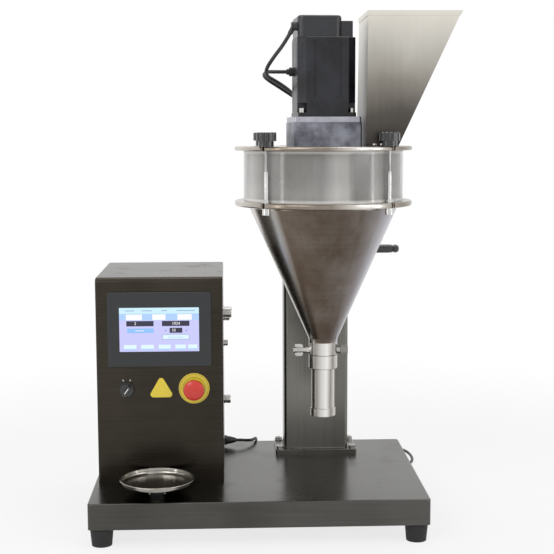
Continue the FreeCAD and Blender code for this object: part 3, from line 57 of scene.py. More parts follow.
def addCamera(look):
    yaw, pitch, roll = (math.radians(look[key]) for key in ("yaw", "pitch", "roll"))
    ahead = Vector((math.sin(yaw) * math.cos(pitch), math.cos(yaw) * math.cos(pitch), -math.sin(pitch)))
    side = Vector((math.cos(yaw), -math.sin(yaw), 0))
    top = side.cross(ahead)
    sideRolled = side * math.cos(roll) + top * math.sin(roll)
    topRolled = top * math.cos(roll) - side * math.sin(roll)
    camera = bpy.data.objects.new("camera", bpy.data.cameras.new("camera"))
    camera.data.lens = look["lens"]
    camera.data.sensor_width = look["sensor"]
    camera.matrix_world = Matrix((
        (sideRolled.x, topRolled.x, -ahead.x, look["place"][0]),
        (sideRolled.y, topRolled.y, -ahead.y, look["place"][1]),
        (sideRolled.z, topRolled.z, -ahead.z, look["place"][2]),
        (0, 0, 0, 1)))
    scene.collection.objects.link(camera)
    scene.camera = camera


addCamera(cameraLook)


# materials: one wrapper for a socket, so that shader maths reads as plain sums

class Shade:
    def __init__(self, tree, socket):
        self.tree = tree
        self.socket = socket

    def make(self, kind, settings=(), values=(), out=0):
        node = self.tree.nodes.new(kind)
        for key, value in dict(settings).items():
            if key == "stops":
                for index, (place, colour) in enumerate(value):
                    stops = node.color_ramp.elements
                    stop = stops[index] if index < 2 else stops.new(place)
                    stop.position = place
                    stop.color = (*colour, 1)
            else:
                setattr(node, key, value)
        for key, value in dict(values).items():
            if isinstance(value, Shade):
                self.tree.links.new(value.socket, node.inputs[key])
            else:
                node.inputs[key].default_value = value
        return Shade(self.tree, node.outputs[out])

    def sum(self, operation, first, second=0.0):
        return self.make("ShaderNodeMath", {"operation": operation}, {0: first, 1: second})

    def __add__(self, other):
        return self.sum("ADD", self, other)

    def __radd__(self, other):
        return self.sum("ADD", other, self)

    def __sub__(self, other):
        return self.sum("SUBTRACT", self, other)

    def __rsub__(self, other):
        return self.sum("SUBTRACT", other, self)

    def __mul__(self, other):
        return self.sum("MULTIPLY", self, other)

    def __rmul__(self, other):
        return self.sum("MULTIPLY", other, self)

    def __truediv__(self, other):
        return self.sum("DIVIDE", self, other)

    def __pow__(self, other):
        return self.sum("POWER", self, other)

    def absolute(self):
        return self.sum("ABSOLUTE", self)

    def fraction(self):
        return self.sum("FRACT", self)

    def rising(self, low, high):
        # 0 below low, 1 above high, smooth between them
        return self.make("ShaderNodeMapRange", {"interpolation_type": "SMOOTHSTEP"},
                         {"Value": self, "From Min": low, "From Max": high})

    def split(self):
        made = self.make("ShaderNodeSeparateXYZ", (), {0: self})
        return [Shade(self.tree, output) for output in made.socket.node.outputs]

    def stretched(self, x, y, z):
        return self.make("ShaderNodeVectorMath", {"operation": "MULTIPLY"}, {0: self, 1: (x, y, z)})

    def shifted(self, x, y, z):
        return self.make("ShaderNodeVectorMath", {"operation": "SUBTRACT"}, {0: self, 1: (x, y, z)})

    def noise(self, scale, detail=2.0, roughness=0.5):
        return self.make("ShaderNodeTexNoise", (), {"Vector": self, "Scale": scale, "Detail": detail,
                                                    "Roughness": roughness})

    def grains(self, scale):
        return self.make("ShaderNodeTexVoronoi", (), {"Vector": self, "Scale": scale})

    def between(self, dark, light):
        return self.make("ShaderNodeMix", {"data_type": "RGBA"},
                         {0: self, 6: colourOf(dark), 7: colourOf(light)}, 2)

    def ramp(self, stops):
        return self.make("ShaderNodeValToRGB", {"stops": stops}, {0: self})


def colourOf(value):
    return value if isinstance(value, Shade) else (*value, 1.0)


def surface(name, look, paint):
    # look holds the fixed values; paint returns what changes over the surface
    material = bpy.data.materials.new(name)
    material.use_nodes = True
    tree = material.node_tree
    shader = tree.nodes["Principled BSDF"]
    for key, value in look.items():
        shader.inputs[key].default_value = value
    place = Shade(tree, tree.nodes.new("ShaderNodeTexCoord").outputs["Object"])
    painted = paint(place)
    if "bump" in painted:
        height, strength, depth = painted.pop("bump")
        painted["Normal"] = place.make("ShaderNodeBump", (), {"Strength": strength, "Distance": depth,
                                                              "Height": height})
    for key, value in painted.items():
        tree.links.new(value.socket, shader.inputs[key])
    return material


def middleOf(node):
    low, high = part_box(node)
    return (low + high) / 2


hopperAxis = middleOf("hopper_cone")


def brushed(name, dark, light, grain, rough):
    # steel with fine lines along one axis and soft clouds of tone
    def paint(place):
        lines = place.stretched(*grain).noise(1.0, 4.0, 0.62)
        clouds = place.stretched(5, 5, 3).noise(1.0, 3.0, 0.5)
        tone = (lines - 0.5) * 0.55 + (clouds - 0.5) * 0.9 + 0.5
        smears = place.stretched(14, 14, 9).noise(1.0, 5.0, 0.6).rising(0.52, 0.75)
        return {"Base Color": tone.rising(0.1, 0.9).between(dark, light),
                "Roughness": lines * 0.14 + smears * 0.08 + (rough - 0.08),
                "bump": (lines, 0.10, 0.0004)}
    return surface(name, {"Metallic": 1.0}, paint)


def polished(name, stops, rough):
    # turned and polished sheet: painted reflection bands run round the hopper's axis, with fine turning lines
    def paint(place):
        x, y, z = place.shifted(hopperAxis.x, hopperAxis.y, 0).split()
        angle = place.sum("ARCTAN2", y, x) / (2 * math.pi) + 0.5
        drift = place.stretched(9, 9, 2.5).noise(1.0, 2.0, 0.5)
        turning = place.stretched(3, 3, 1500).noise(1.0, 2.0, 0.5)
        smears = place.stretched(16, 16, 10).noise(1.0, 5.0, 0.62)
        # painted reflection: light and dark streaks set by the angle round the axis
        tone = (angle + (drift - 0.5) * 0.05).ramp(stops)
        worn = (smears * 0.5 + turning * 0.12).rising(0.1, 0.75)
        return {"Base Color": (worn * 0.35).between(tone, (0.62, 0.60, 0.57)),
                "Roughness": smears * 0.12 + turning * 0.05 + rough,
                "bump": (turning, 0.06, 0.0003)}
    return surface(name, {"Metallic": 1.0}, paint)


def machined(name, dark, light, rough=0.3):
    # turned or milled fasteners and shafts
    def paint(place):
        cuts = place.stretched(700, 700, 2600).noise(1.0, 2.0, 0.5)
        clouds = place.stretched(40, 40, 40).noise(1.0, 3.0, 0.5)
        return {"Base Color": (cuts * 0.4 + clouds * 0.6).rising(0.25, 0.75).between(dark, light),
                "Roughness": clouds * 0.16 + (rough - 0.08), "bump": (cuts, 0.12, 0.0002)}
    return surface(name, {"Metallic": 1.0}, paint)


def cast(name, dark, light, rough=0.5, metal=0.9, size=420.0):
    # blasted casting or powder coat: a pebbled skin with darker hollows
    def paint(place):
        pebbles = place.grains(size)
        clouds = place.stretched(22, 22, 22).noise(1.0, 5.0, 0.6)
        wear = place.stretched(60, 60, 60).noise(1.0, 5.0, 0.7).rising(0.56, 0.8)
        tone = clouds.rising(0.3, 0.7).between(dark, light)
        return {"Base Color": (wear * 0.35).between(tone, light), "Roughness": clouds * 0.2 + (rough - 0.1),
                "bump": (pebbles * 0.5 + clouds * 0.5, 0.35, 0.0003)}
    return surface(name, {"Metallic": metal}, paint)


def moulded(name, base, light, rough=0.42, coat=0.1, fineness=900.0, depth=0.00018):
    # moulded plastic or rubber with a fine grain and faint dust in it
    def paint(place):
        grain = place.noise(fineness, 3.0, 0.6)
        dust = place.stretched(28, 28, 28).noise(1.0, 5.0, 0.65).rising(0.5, 0.85)
        return {"Base Color": (dust * 0.6).between(base, light),
                "Roughness": grain * 0.1 + dust * 0.1 + rough - 0.05, "bump": (grain, 0.25, depth)}
    return surface(name, {"Coat Weight": coat, "Coat Roughness": 0.25}, paint)


def lit(name, colour, strength=1.0):
    # backlit part of the touch screen, with the faint rows of its cells
    def paint(place):
        x, y, z = place.split()
        rows = (z * 2400).fraction().rising(0.2, 0.5) * 0.06
        return {"Emission Color": rows.between(colour, [value * 0.7 for value in colour])}
    return surface(name, {"Base Color": (0.02, 0.02, 0.025, 1), "Roughness": 0.12,
                          "Emission Strength": strength}, paint)


# painted reflection: these sheet steels get dark colours that stand in for the dark room they reflect
traySteel = brushed("tray steel", (0.055, 0.053, 0.048), (0.115, 0.112, 0.105), (6, 900, 900), 0.24)
cabinetSteel = brushed("cabinet steel", (0.026, 0.022, 0.017), (0.060, 0.052, 0.042), (5, 900, 900), 0.27)
columnSteel = brushed("column steel", (0.13, 0.125, 0.11), (0.23, 0.225, 0.205), (900, 900, 5), 0.3)
footSteel = brushed("foot plate steel", (0.10, 0.095, 0.085), (0.20, 0.19, 0.175), (8, 700, 700), 0.24)
carriageSteel = brushed("carriage steel", (0.16, 0.155, 0.14), (0.30, 0.29, 0.27), (900, 900, 6), 0.3)
boltSteel = machined("bolt steel", (0.34, 0.33, 0.31), (0.66, 0.65, 0.63), 0.26)
rodSteel = machined("rod steel", (0.42, 0.42, 0.42), (0.80, 0.80, 0.79), 0.22)
darkSteel = machined("black oxide steel and socket shade", (0.035, 0.035, 0.038), (0.11, 0.11, 0.115), 0.38)
faceAlloy = machined("machined alloy", (0.30, 0.30, 0.34), (0.50, 0.50, 0.55), 0.34)
seatAlloy = cast("seat casting", (0.085, 0.088, 0.105), (0.30, 0.31, 0.36), 0.42, 0.9, 520.0)
gearAlloy = cast("gear housing casting", (0.16, 0.165, 0.175), (0.34, 0.345, 0.36), 0.46, 0.9, 480.0)
motorCoat = cast("motor coat", (0.006, 0.006, 0.0075), (0.022, 0.023, 0.030), 0.36, 0.25, 900.0)
capPlastic = moulded("cap plastic", (0.007, 0.008, 0.012), (0.028, 0.032, 0.05), 0.34, 0.3)
blackPlastic = moulded("black plastic", (0.012, 0.012, 0.012), (0.035, 0.034, 0.032), 0.44, 0.08)
bezelPlastic = moulded("bezel plastic", (0.008, 0.010, 0.011), (0.020, 0.024, 0.025), 0.36, 0.25, 1400.0,
                       0.0001)
knobPlastic = moulded("knob plastic", (0.007, 0.007, 0.008), (0.04, 0.04, 0.045), 0.2, 0.6, 600.0, 0.0001)
greyPlastic = moulded("grey plastic", (0.26, 0.25, 0.23), (0.44, 0.43, 0.41), 0.34, 0.2)
slidePlastic = moulded("slide plastic", (0.72, 0.72, 0.69), (0.85, 0.85, 0.82), 0.5, 0.0)
footRubber = moulded("foot rubber", (0.010, 0.010, 0.010), (0.045, 0.042, 0.038), 0.7, 0.0, 500.0, 0.0003)
sealRubber = moulded("seal rubber", (0.60, 0.59, 0.55), (0.74, 0.73, 0.70), 0.45, 0.0)
cableSkin = moulded("cable skin", (0.008, 0.008, 0.009), (0.030, 0.030, 0.032), 0.46, 0.05, 700.0, 0.0002)
yellowPlastic = moulded("yellow plastic", (0.80, 0.62, 0.045), (0.62, 0.47, 0.05), 0.32, 0.3)
redPlastic = moulded("red plastic", (0.62, 0.022, 0.012), (0.42, 0.02, 0.014), 0.26, 0.5)
whitePaint = moulded("white paint", (0.82, 0.82, 0.80), (0.66, 0.66, 0.64), 0.5, 0.0)
tieNylon = moulded("tie nylon", (0.012, 0.012, 0.012), (0.05, 0.05, 0.05), 0.5, 0.0)

# painted reflection: light and dark bands round the axis for the cone, the rims and the tubes
coneReflectionStops = [(0.0, (0.30, 0.28, 0.26)), (0.5, (0.36, 0.35, 0.39)), (0.045, (0.80, 0.78, 0.74)),
             (0.075, (0.17, 0.13, 0.10)), (0.12, (0.62, 0.59, 0.54)), (0.15, (0.10, 0.068, 0.045)),
             (0.25, (0.060, 0.038, 0.023)), (0.33, (0.085, 0.062, 0.048)), (0.38, (0.20, 0.18, 0.18)),
             (0.44, (0.42, 0.41, 0.46)), (0.56, (0.20, 0.18, 0.17)), (0.63, (0.48, 0.46, 0.43)),
             (0.75, (0.15, 0.13, 0.11)), (0.86, (0.46, 0.44, 0.42)), (0.93, (0.16, 0.13, 0.11)),
             (1.0, (0.30, 0.28, 0.26))]
rimReflectionStops = [(0.0, (0.42, 0.38, 0.33)), (0.5, (0.34, 0.31, 0.27)), (0.06, (0.62, 0.59, 0.54)),
            (0.16, (0.20, 0.16, 0.12)), (0.25, (0.24, 0.20, 0.16)), (0.31, (0.72, 0.69, 0.65)),
            (0.40, (0.22, 0.19, 0.15)), (0.62, (0.52, 0.49, 0.45)), (0.80, (0.24, 0.21, 0.18)),
            (1.0, (0.42, 0.38, 0.33))]
tubeReflectionStops = [(0.0, (0.45, 0.43, 0.40)), (0.5, (0.30, 0.28, 0.26)), (0.09, (0.78, 0.77, 0.74)),
             (0.15, (0.20, 0.18, 0.16)), (0.22, (0.62, 0.61, 0.58)), (0.29, (0.86, 0.85, 0.83)),
             (0.35, (0.22, 0.20, 0.18)), (0.42, (0.60, 0.58, 0.55)), (0.72, (0.34, 0.32, 0.29)),
             (0.86, (0.66, 0.64, 0.61)), (1.0, (0.45, 0.43, 0.40))]
coneSteel = polished("cone steel", coneReflectionStops, 0.17)
rimSteel = polished("rim steel", rimReflectionStops, 0.14)
tubeSteel = polished("tube steel", tubeReflectionStops, 0.16)


def dishPaint(place):
    low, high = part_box("weigh_dish")
    middle = (low + high) / 2
    x, y, z = place.shifted(middle.x, middle.y, low.z).split()
    spun = (x * x + y * y) ** 0.5
    rings = (spun * 900).fraction().rising(0.1, 0.9)
    smears = place.stretched(30, 12, 12).noise(1.0, 4.0, 0.6)
    return {"Base Color": (smears * 0.8 + rings * 0.1).between((0.16, 0.15, 0.13), (0.52, 0.50, 0.46)),
            "Roughness": smears * 0.12 + 0.12, "bump": (rings, 0.05, 0.0002)}


def chutePaint(place):
    # painted reflection: the sheet runs from dark low down to pale towards the mouth
    low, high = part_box("chute")
    x, y, z = place.split()
    rise = (z - low.z) / (high.z - low.z)
    lines = place.stretched(900, 900, 6).noise(1.0, 4.0, 0.62)
    clouds = place.stretched(7, 7, 5).noise(1.0, 4.0, 0.55)
    tone = (rise + (clouds - 0.5) * 0.30 + (lines - 0.5) * 0.10).ramp([
        (0.0, (0.055, 0.050, 0.045)), (1.0, (0.74, 0.71, 0.64)), (0.22, (0.10, 0.09, 0.08)),
        (0.48, (0.26, 0.24, 0.21)), (0.74, (0.52, 0.50, 0.45))])
    return {"Base Color": tone, "Roughness": lines * 0.12 + clouds * 0.12 + 0.2, "bump": (lines, 0.1, 0.0004)}


def acrylicPaint(place):
    # clear wall with soft upright bands of painted reflection, a matt bloom of powder low down and paler rims
    # at the top and bottom
    low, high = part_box("clear_ring")
    x, y, z = place.shifted(hopperAxis.x, hopperAxis.y, 0).split()
    angle = place.sum("ARCTAN2", y, x) / (2 * math.pi) + 0.5
    # painted reflection: bright upright bands set by the angle round the axis
    reflectionBands = angle.ramp([(0.0, (0.3,) * 3), (0.5, (0.42,) * 3), (0.07, (0.95,) * 3), (0.11, (0.35,) * 3),
                        (0.17, (0.22,) * 3), (0.235, (0.30,) * 3), (0.262, (0.85,) * 3), (0.285, (0.75,) * 3),
                        (0.30, (0.12,) * 3), (0.325, (0.20,) * 3), (0.345, (0.70,) * 3), (0.37, (0.30,) * 3),
                        (0.60, (0.75,) * 3), (0.75, (0.25,) * 3), (0.88, (0.6,) * 3), (1.0, (0.3,) * 3)])
    smoke = place.stretched(14, 14, 5).noise(1.0, 5.0, 0.6)
    edge = ((z - (low.z + high.z) / 2).absolute()).rising((high.z - low.z) * 0.44, (high.z - low.z) * 0.5)
    milk = (z - low.z).rising(0.0, 0.05)
    hazeAndReflections = smoke * 0.25 + reflectionBands * 0.42 + (1 - milk) * 0.12 + edge * 0.4
    return {"Base Color": hazeAndReflections.rising(0.1, 0.8).between((0.30, 0.285, 0.27), (0.80, 0.79, 0.765)),
            "Alpha": hazeAndReflections * 0.75 + 0.30, "Roughness": smoke * 0.1 + 0.05}


# painted highlight: pale tone for light caught on the bezel's edges
def bezelHighlightPaint(place):
    unevenHighlight = place.stretched(120, 120, 120).noise(1.0, 4.0, 0.6)
    return {"Base Color": unevenHighlight.between((0.075, 0.08, 0.08), (0.16, 0.165, 0.165)),
            "Roughness": unevenHighlight * 0.2 + 0.25}


pinsEnd = (17.6 * mm, 18.2 * mm)


def plugPaint(place):
    # the pins are brass, the moulding is black
    low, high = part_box("mains_plug")
    x, y, z = place.split()
    body = x.rising(low.x + pinsEnd[0], low.x + pinsEnd[1])
    grain = place.noise(800.0, 3.0, 0.6)
    return {"Base Color": body.between((0.62, 0.44, 0.18), (0.012, 0.012, 0.013)), "Metallic": 1 - body,
            "Roughness": body * 0.2 + grain * 0.08 + 0.22, "bump": (grain, 0.2, 0.0002)}


dishSteel = surface("dish steel", {"Metallic": 1.0}, dishPaint)
chuteSteel = surface("chute steel", {"Metallic": 1.0}, chutePaint)
clearAcrylic = surface("clear acrylic", {"IOR": 1.49, "Coat Weight": 0.6, "Coat Roughness": 0.04},
                       acrylicPaint)
bezelHighlightFinish = surface("bezel edge highlight", {"Metallic": 0.2}, bezelHighlightPaint)
plugFinish = surface("plug finish", {"Coat Weight": 0.1}, plugPaint)
screenBody = lit("screen body", (0.58, 0.58, 0.95))

finishes = {
    "base_tray": traySteel, "rubber_feet": footRubber, "base_bolts": boltSteel, "cabinet_shell": cabinetSteel,
    "rear_cover": cabinetSteel, "cover_screws": boltSteel, "screen_bezel": bezelPlastic,
    "screen_glass": screenBody, "stop_disc": yellowPlastic, "stop_collar": blackPlastic,
    "stop_plunger": blackPlastic, "stop_head": redPlastic, "selector_bezel": blackPlastic,
    "selector_knob": knobPlastic, "contact_blocks": blackPlastic, "caution_plate": yellowPlastic,
    "side_connectors": boltSteel, "mains_gland": blackPlastic, "weigh_dish": dishSteel,
    "dish_stem": darkSteel,
    "load_cell": faceAlloy, "column_foot": footSteel, "column_tube": columnSteel, "rack": darkSteel,
    "carriage": carriageSteel, "guide_pads": slidePlastic, "gear_housing": gearAlloy, "pinion": darkSteel,
    "crank_arm": boltSteel, "crank_grip": knobPlastic, "top_plate": rimSteel, "bottom_flange": rimSteel,
    "ring_gaskets": sealRubber, "clear_ring": clearAcrylic, "hopper_cone": coneSteel, "tie_rods": rodSteel,
    "neck_socket": tubeSteel, "wing_screw": boltSteel, "thumb_knob": greyPlastic, "filling_tube": tubeSteel,
    "auger": tubeSteel, "stirrer": carriageSteel, "shaft_coupling": faceAlloy, "drive_shaft": boltSteel,
    "bearing_housing": faceAlloy, "motor_seat": seatAlloy, "motor_flange": faceAlloy, "motor_body": motorCoat,
    "encoder_cap": capPlastic, "chute": chuteSteel, "head_screws": boltSteel, "cable_fittings": blackPlastic,
    "mains_plug": plugFinish, "star_knob_1": knobPlastic, "star_knob_2": knobPlastic,
    "star_knob_3": knobPlastic, "star_knob_4": knobPlastic,
}
for name, material in finishes.items():
    for slot in nodes[name].material_slots:
        slot.material = material
print("finishes set:", len(finishes))


def addPiece(name, data, body, materials):
    piece = bpy.data.objects.new(name, data)
    scene.collection.objects.link(piece)
    for material in materials:
        data.materials.append(material)
    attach(piece, body)
    return piece


# cables: the chosen routes, in metres

cables = {
    "encoderCable": {
        "body": "head", "diameter": 7 * mm, "length": 0.36, "stiffness": "limp", "lay": "hanging",
        "route": [(0.0328, -0.1085, 0.9491), (0.0219, -0.1093, 0.9301), (0.0020, -0.1248, 0.9050),
                  (-0.0120, -0.1058, 0.8840), (-0.0100, -0.0768, 0.8730), (0.0060, -0.0478, 0.8660),
                  (0.0240, -0.0198, 0.8570), (0.0410, 0.0082, 0.8460), (0.0540, 0.0362, 0.8340),
                  (0.0660, 0.0632, 0.8180), (0.0770, 0.0832, 0.7970), (0.0825, 0.0952, 0.7780),
                  (0.0825, 0.0952, 0.7541)]},
    "powerCable": {
        "body": "head", "diameter": 7 * mm, "length": 0.29, "stiffness": "limp", "lay": "hanging",
        "route": [(0.0288, -0.0657, 0.8810), (0.0069, -0.0672, 0.8810), (-0.0090, -0.0528, 0.8820),
                  (-0.0150, -0.0328, 0.8760), (-0.0050, -0.0118, 0.8680), (0.0130, 0.0092, 0.8580),
                  (0.0340, 0.0312, 0.8460), (0.0540, 0.0492, 0.8340), (0.0740, 0.0651, 0.8200),
                  (0.0910, 0.0792, 0.8040), (0.1020, 0.0892, 0.7880), (0.1065, 0.0952, 0.7730),
                  (0.1065, 0.0952, 0.7541)]},
}
leadOut = [(-0.0850, 0.1812, 0.0990), (-0.0630, 0.1812, 0.0990), (-0.0470, 0.1882, 0.0960),
           (-0.0350, 0.2041, 0.0930), (-0.0290, 0.2242, 0.0920), (-0.0270, 0.2442, 0.0850),
           (-0.0260, 0.2581, 0.0680), (-0.0250, 0.2661, 0.0460), (-0.0220, 0.2761, 0.0240),
           (-0.0130, 0.2941, 0.0090), (0.0020, 0.3201, 0.0035), (0.0260, 0.3601, 0.0035),
           (0.0620, 0.3972, 0.0035), (0.1090, 0.4271, 0.0035), (0.1630, 0.4451, 0.0035),
           (0.2200, 0.4551, 0.0035), (0.2750, 0.4602, 0.0035), (0.3140, 0.4551, 0.0035),
           (0.3340, 0.4351, 0.0035), (0.3430, 0.3992, 0.0035), (0.3440, 0.3591, 0.0035),
           (0.3370, 0.3251, 0.0035), (0.3190, 0.2971, 0.0035), (0.2960, 0.2831, 0.0035),
           (0.2700, 0.2841, 0.0035), (0.2500, 0.2981, 0.0035), (0.2390, 0.3191, 0.0035),
           (0.2357, 0.3431, 0.0035)]
leadEnd = [(0.1605, 0.3551, 0.0090), (0.1590, 0.3352, 0.0085), (0.1500, 0.3161, 0.0090),
           (0.1330, 0.3041, 0.0110), (0.1130, 0.3001, 0.0133), (0.0930, 0.3001, 0.0133)]
lead = {"diameter": 6.4 * mm, "length": 1.86, "turns": 4.4, "perTurn": 16, "radius": 35 * mm,
        "middle": (0.1980, 0.36115), "start": -24.0, "crossing": 0.3, "floor": 3.5 * mm, "exit": leadOut[0]}


def coilTurns(look):
    # turns beside and on each other: out, in, in above, out above
    step = look["diameter"]
    lanes = [(0.5, 0), (-0.5, 0), (-0.5, 1), (0.5, 1), (0.5, 1)]
    middleX, middleY = look["middle"]
    crossing = look["crossing"]
    points = []
    for index in range(1, int(look["turns"] * look["perTurn"]) + 1):
        turn = index / look["perTurn"]
        now, share = int(turn), turn - int(turn)
        blend = max(0.0, (share - 1 + crossing) / crossing)
        this, following = lanes[now], lanes[min(now + 1, len(lanes) - 1)]
        side, level = (this[axis] * (1 - blend) + following[axis] * blend for axis in (0, 1))
        radius = look["radius"] + side * step
        angle = math.radians(look["start"]) + 2 * math.pi * turn
        points.append((middleX + radius * math.cos(angle), middleY + radius * math.sin(angle),
                       look["floor"] + level * step))
    return points


def cableCurve(name, route, diameter, body):
    curve = bpy.data.curves.new(name, "CURVE")
    curve.dimensions = "3D"
    curve.bevel_depth = diameter / 2
    curve.bevel_resolution = 4
    curve.resolution_u = 6
    curve.use_fill_caps = True
    spline = curve.splines.new("NURBS")
    spline.points.add(len(route) - 1)
    for point, place in zip(spline.points, route):
        point.co = (*place, 1)
    spline.order_u = 3
    spline.use_endpoint_u = True
    return addPiece(name, curve, body, [cableSkin])


for name, look in cables.items():
    piece = cableCurve(name, look["route"], look["diameter"], look["body"])
    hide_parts("motor_cables")
leadPiece = cableCurve("mainsLead", leadOut + coilTurns(lead) + leadEnd, lead["diameter"], "base")
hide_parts("mains_cable", "mains_coil")
print("cables laid")


# small pieces, each in its own mesh with its place in the mesh

def towards(direction, place):
    return Matrix.Translation(place) @ Vector(direction).to_track_quat("Z", "Y").to_matrix().to_4x4()


def finishPiece(name, bm, body, materials, sharp=35.0):
    bmesh.ops.remove_doubles(bm, verts=bm.verts, dist=1e-7)
    bmesh.ops.recalc_face_normals(bm, faces=bm.faces)
    mesh = bpy.data.meshes.new(name)
    bm.to_mesh(mesh)
    bm.free()
    mesh.polygons.foreach_set("use_smooth", [True] * len(mesh.polygons))
    mesh.set_sharp_from_angle(angle=math.radians(sharp))
    addPiece(name, mesh, body, materials)


def edgesOf(verts):
    return list(dict.fromkeys(edge for vert in verts for edge in vert.link_edges))


def addHexagon(bm, radius, thick, matrix):
    bmesh.ops.create_cone(bm, cap_ends=True, segments=6, radius1=radius, radius2=radius, depth=thick,
                          matrix=matrix @ Matrix.Translation((0, 0, thick / 2)))


def addBar(bm, size, matrix, edge=0.0):
    made = bmesh.ops.create_cube(bm, size=1.0)["verts"]
    bmesh.ops.scale(bm, vec=size, verts=made)
    if edge:
        grown = bmesh.ops.bevel(bm, geom=edgesOf(made), offset=edge, affect="EDGES", segments=2, profile=0.5,
                                material=-1)
        made = list({v for v in made if v.is_valid} | set(grown["verts"]))
    bmesh.ops.transform(bm, matrix=matrix, verts=made)


def addRing(bm, radius, thickness, matrix, steps, corners):
    # a round section spun into a ring
    made = bmesh.ops.create_circle(bm, radius=thickness, segments=corners)["verts"]
    bmesh.ops.rotate(bm, verts=made, cent=(0, 0, 0), matrix=Matrix.Rotation(math.pi / 2, 3, "X"))
    bmesh.ops.translate(bm, verts=made, vec=(radius, 0, 0))
    before = set(bm.verts) - set(made)
    bmesh.ops.spin(bm, geom=made + edgesOf(made), cent=(0, 0, 0), axis=(0, 0, 1), angle=2 * math.pi,
                   steps=steps, use_merge=True)
    bmesh.ops.transform(bm, matrix=matrix, verts=[v for v in bm.verts if v not in before])


def addThread(bm, radius, pitch, height, matrix, perTurn=14):
    # one ridge wound up the rod
    inner, outer, half = radius - 0.25 * pitch, radius + 0.35 * pitch, 0.42 * pitch
    made = [bm.verts.new(spot) for spot in ((inner, 0, -half), (outer, 0, 0), (inner, 0, half))]
    edges = [bm.edges.new(made[:2]), bm.edges.new(made[1:])]
    before = set(bm.verts) - set(made)
    turns = int(height / pitch)
    bmesh.ops.spin(bm, geom=made + edges, cent=(0, 0, 0), axis=(0, 0, 1), angle=2 * math.pi * turns,
                   steps=perTurn * turns, dvec=(0, 0, pitch / perTurn))
    bmesh.ops.transform(bm, matrix=matrix, verts=[v for v in bm.verts if v not in before])


def solidsOf(node):
    # low and high corners of each separate solid of a node
    bm = bmesh.new()
    bm.from_mesh(nodes[node].data)
    bmesh.ops.remove_doubles(bm, verts=bm.verts, dist=1e-6)
    left = set(bm.verts)
    found = []
    while left:
        stack = [left.pop()]
        group = []
        while stack:
            vert = stack.pop()
            group.append(vert.co.copy())
            for edge in vert.link_edges:
                other = edge.other_vert(vert)
                if other in left:
                    left.remove(other)
                    stack.append(other)
        low, high = (Vector([pick(co[axis] for co in group) for axis in range(3)]) for pick in (min, max))
        found.append((low, high))
    bm.free()
    return sorted(found, key=lambda box: tuple(round(value, 4) for value in (*box[0], *box[1])))


# touch screen

screen = {"proud": 0.12 * mm, "header": (0.0, 0.865, 1.0, 1.0), "strip": (0.0, 0.715, 1.0, 0.865),
          "fields": [(0.085, 0.285), (0.415, 0.58), (0.73, 0.91)], "fieldRow": (0.722, 0.85),
          "buttons": [(0.055, 0.21), (0.27, 0.43), (0.49, 0.64), (0.70, 0.83), (0.86, 0.975)],
          "buttonRow": (0.035, 0.155), "buttonFoot": 0.03, "arrow": 2.3 * mm, "arrowAt": (0.71, 0.48),
          "arrowOut": 0.13, "numberHeight": 8 * mm,
          "tiles": [("dark", 0.088, 0.58, 0.43, 0.70, 1), ("dark", 0.535, 0.58, 0.88, 0.70, 1),
                    ("blue", 0.098, 0.425, 0.43, 0.53, 1), ("white", 0.20, 0.47, 0.31, 0.485, 2),
                    ("dark", 0.63, 0.425, 0.79, 0.54, 1), ("line", 0.538, 0.275, 0.876, 0.385, 1),
                    ("cyan", 0.543, 0.285, 0.871, 0.378, 2), ("strip", 0.61, 0.32, 0.80, 0.335, 3),
                    ("line", 0.075, 0.925, 0.19, 0.94, 2), ("line", 0.28, 0.925, 0.41, 0.94, 2),
                    ("line", 0.53, 0.925, 0.60, 0.94, 2), ("line", 0.72, 0.925, 0.95, 0.94, 2)]}
glassLow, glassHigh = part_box("screen_glass")
screenColours = {
    "pale": lit("screen header", (0.60, 0.86, 0.96)), "strip": lit("screen strip", (0.42, 0.62, 1.0)),
    "white": lit("screen field", (0.95, 0.95, 0.97)), "dark": lit("screen readout", (0.006, 0.006, 0.03)),
    "blue": lit("screen button", (0.27, 0.53, 1.0)), "cyan": lit("screen key", (0.74, 0.93, 1.0)),
    "line": lit("screen line", (0.20, 0.28, 0.55)),
}


def screenPlace(u, v, lift):
    return Vector((glassLow.x + u * (glassHigh.x - glassLow.x), glassLow.y - lift,
                   glassLow.z + v * (glassHigh.z - glassLow.z)))


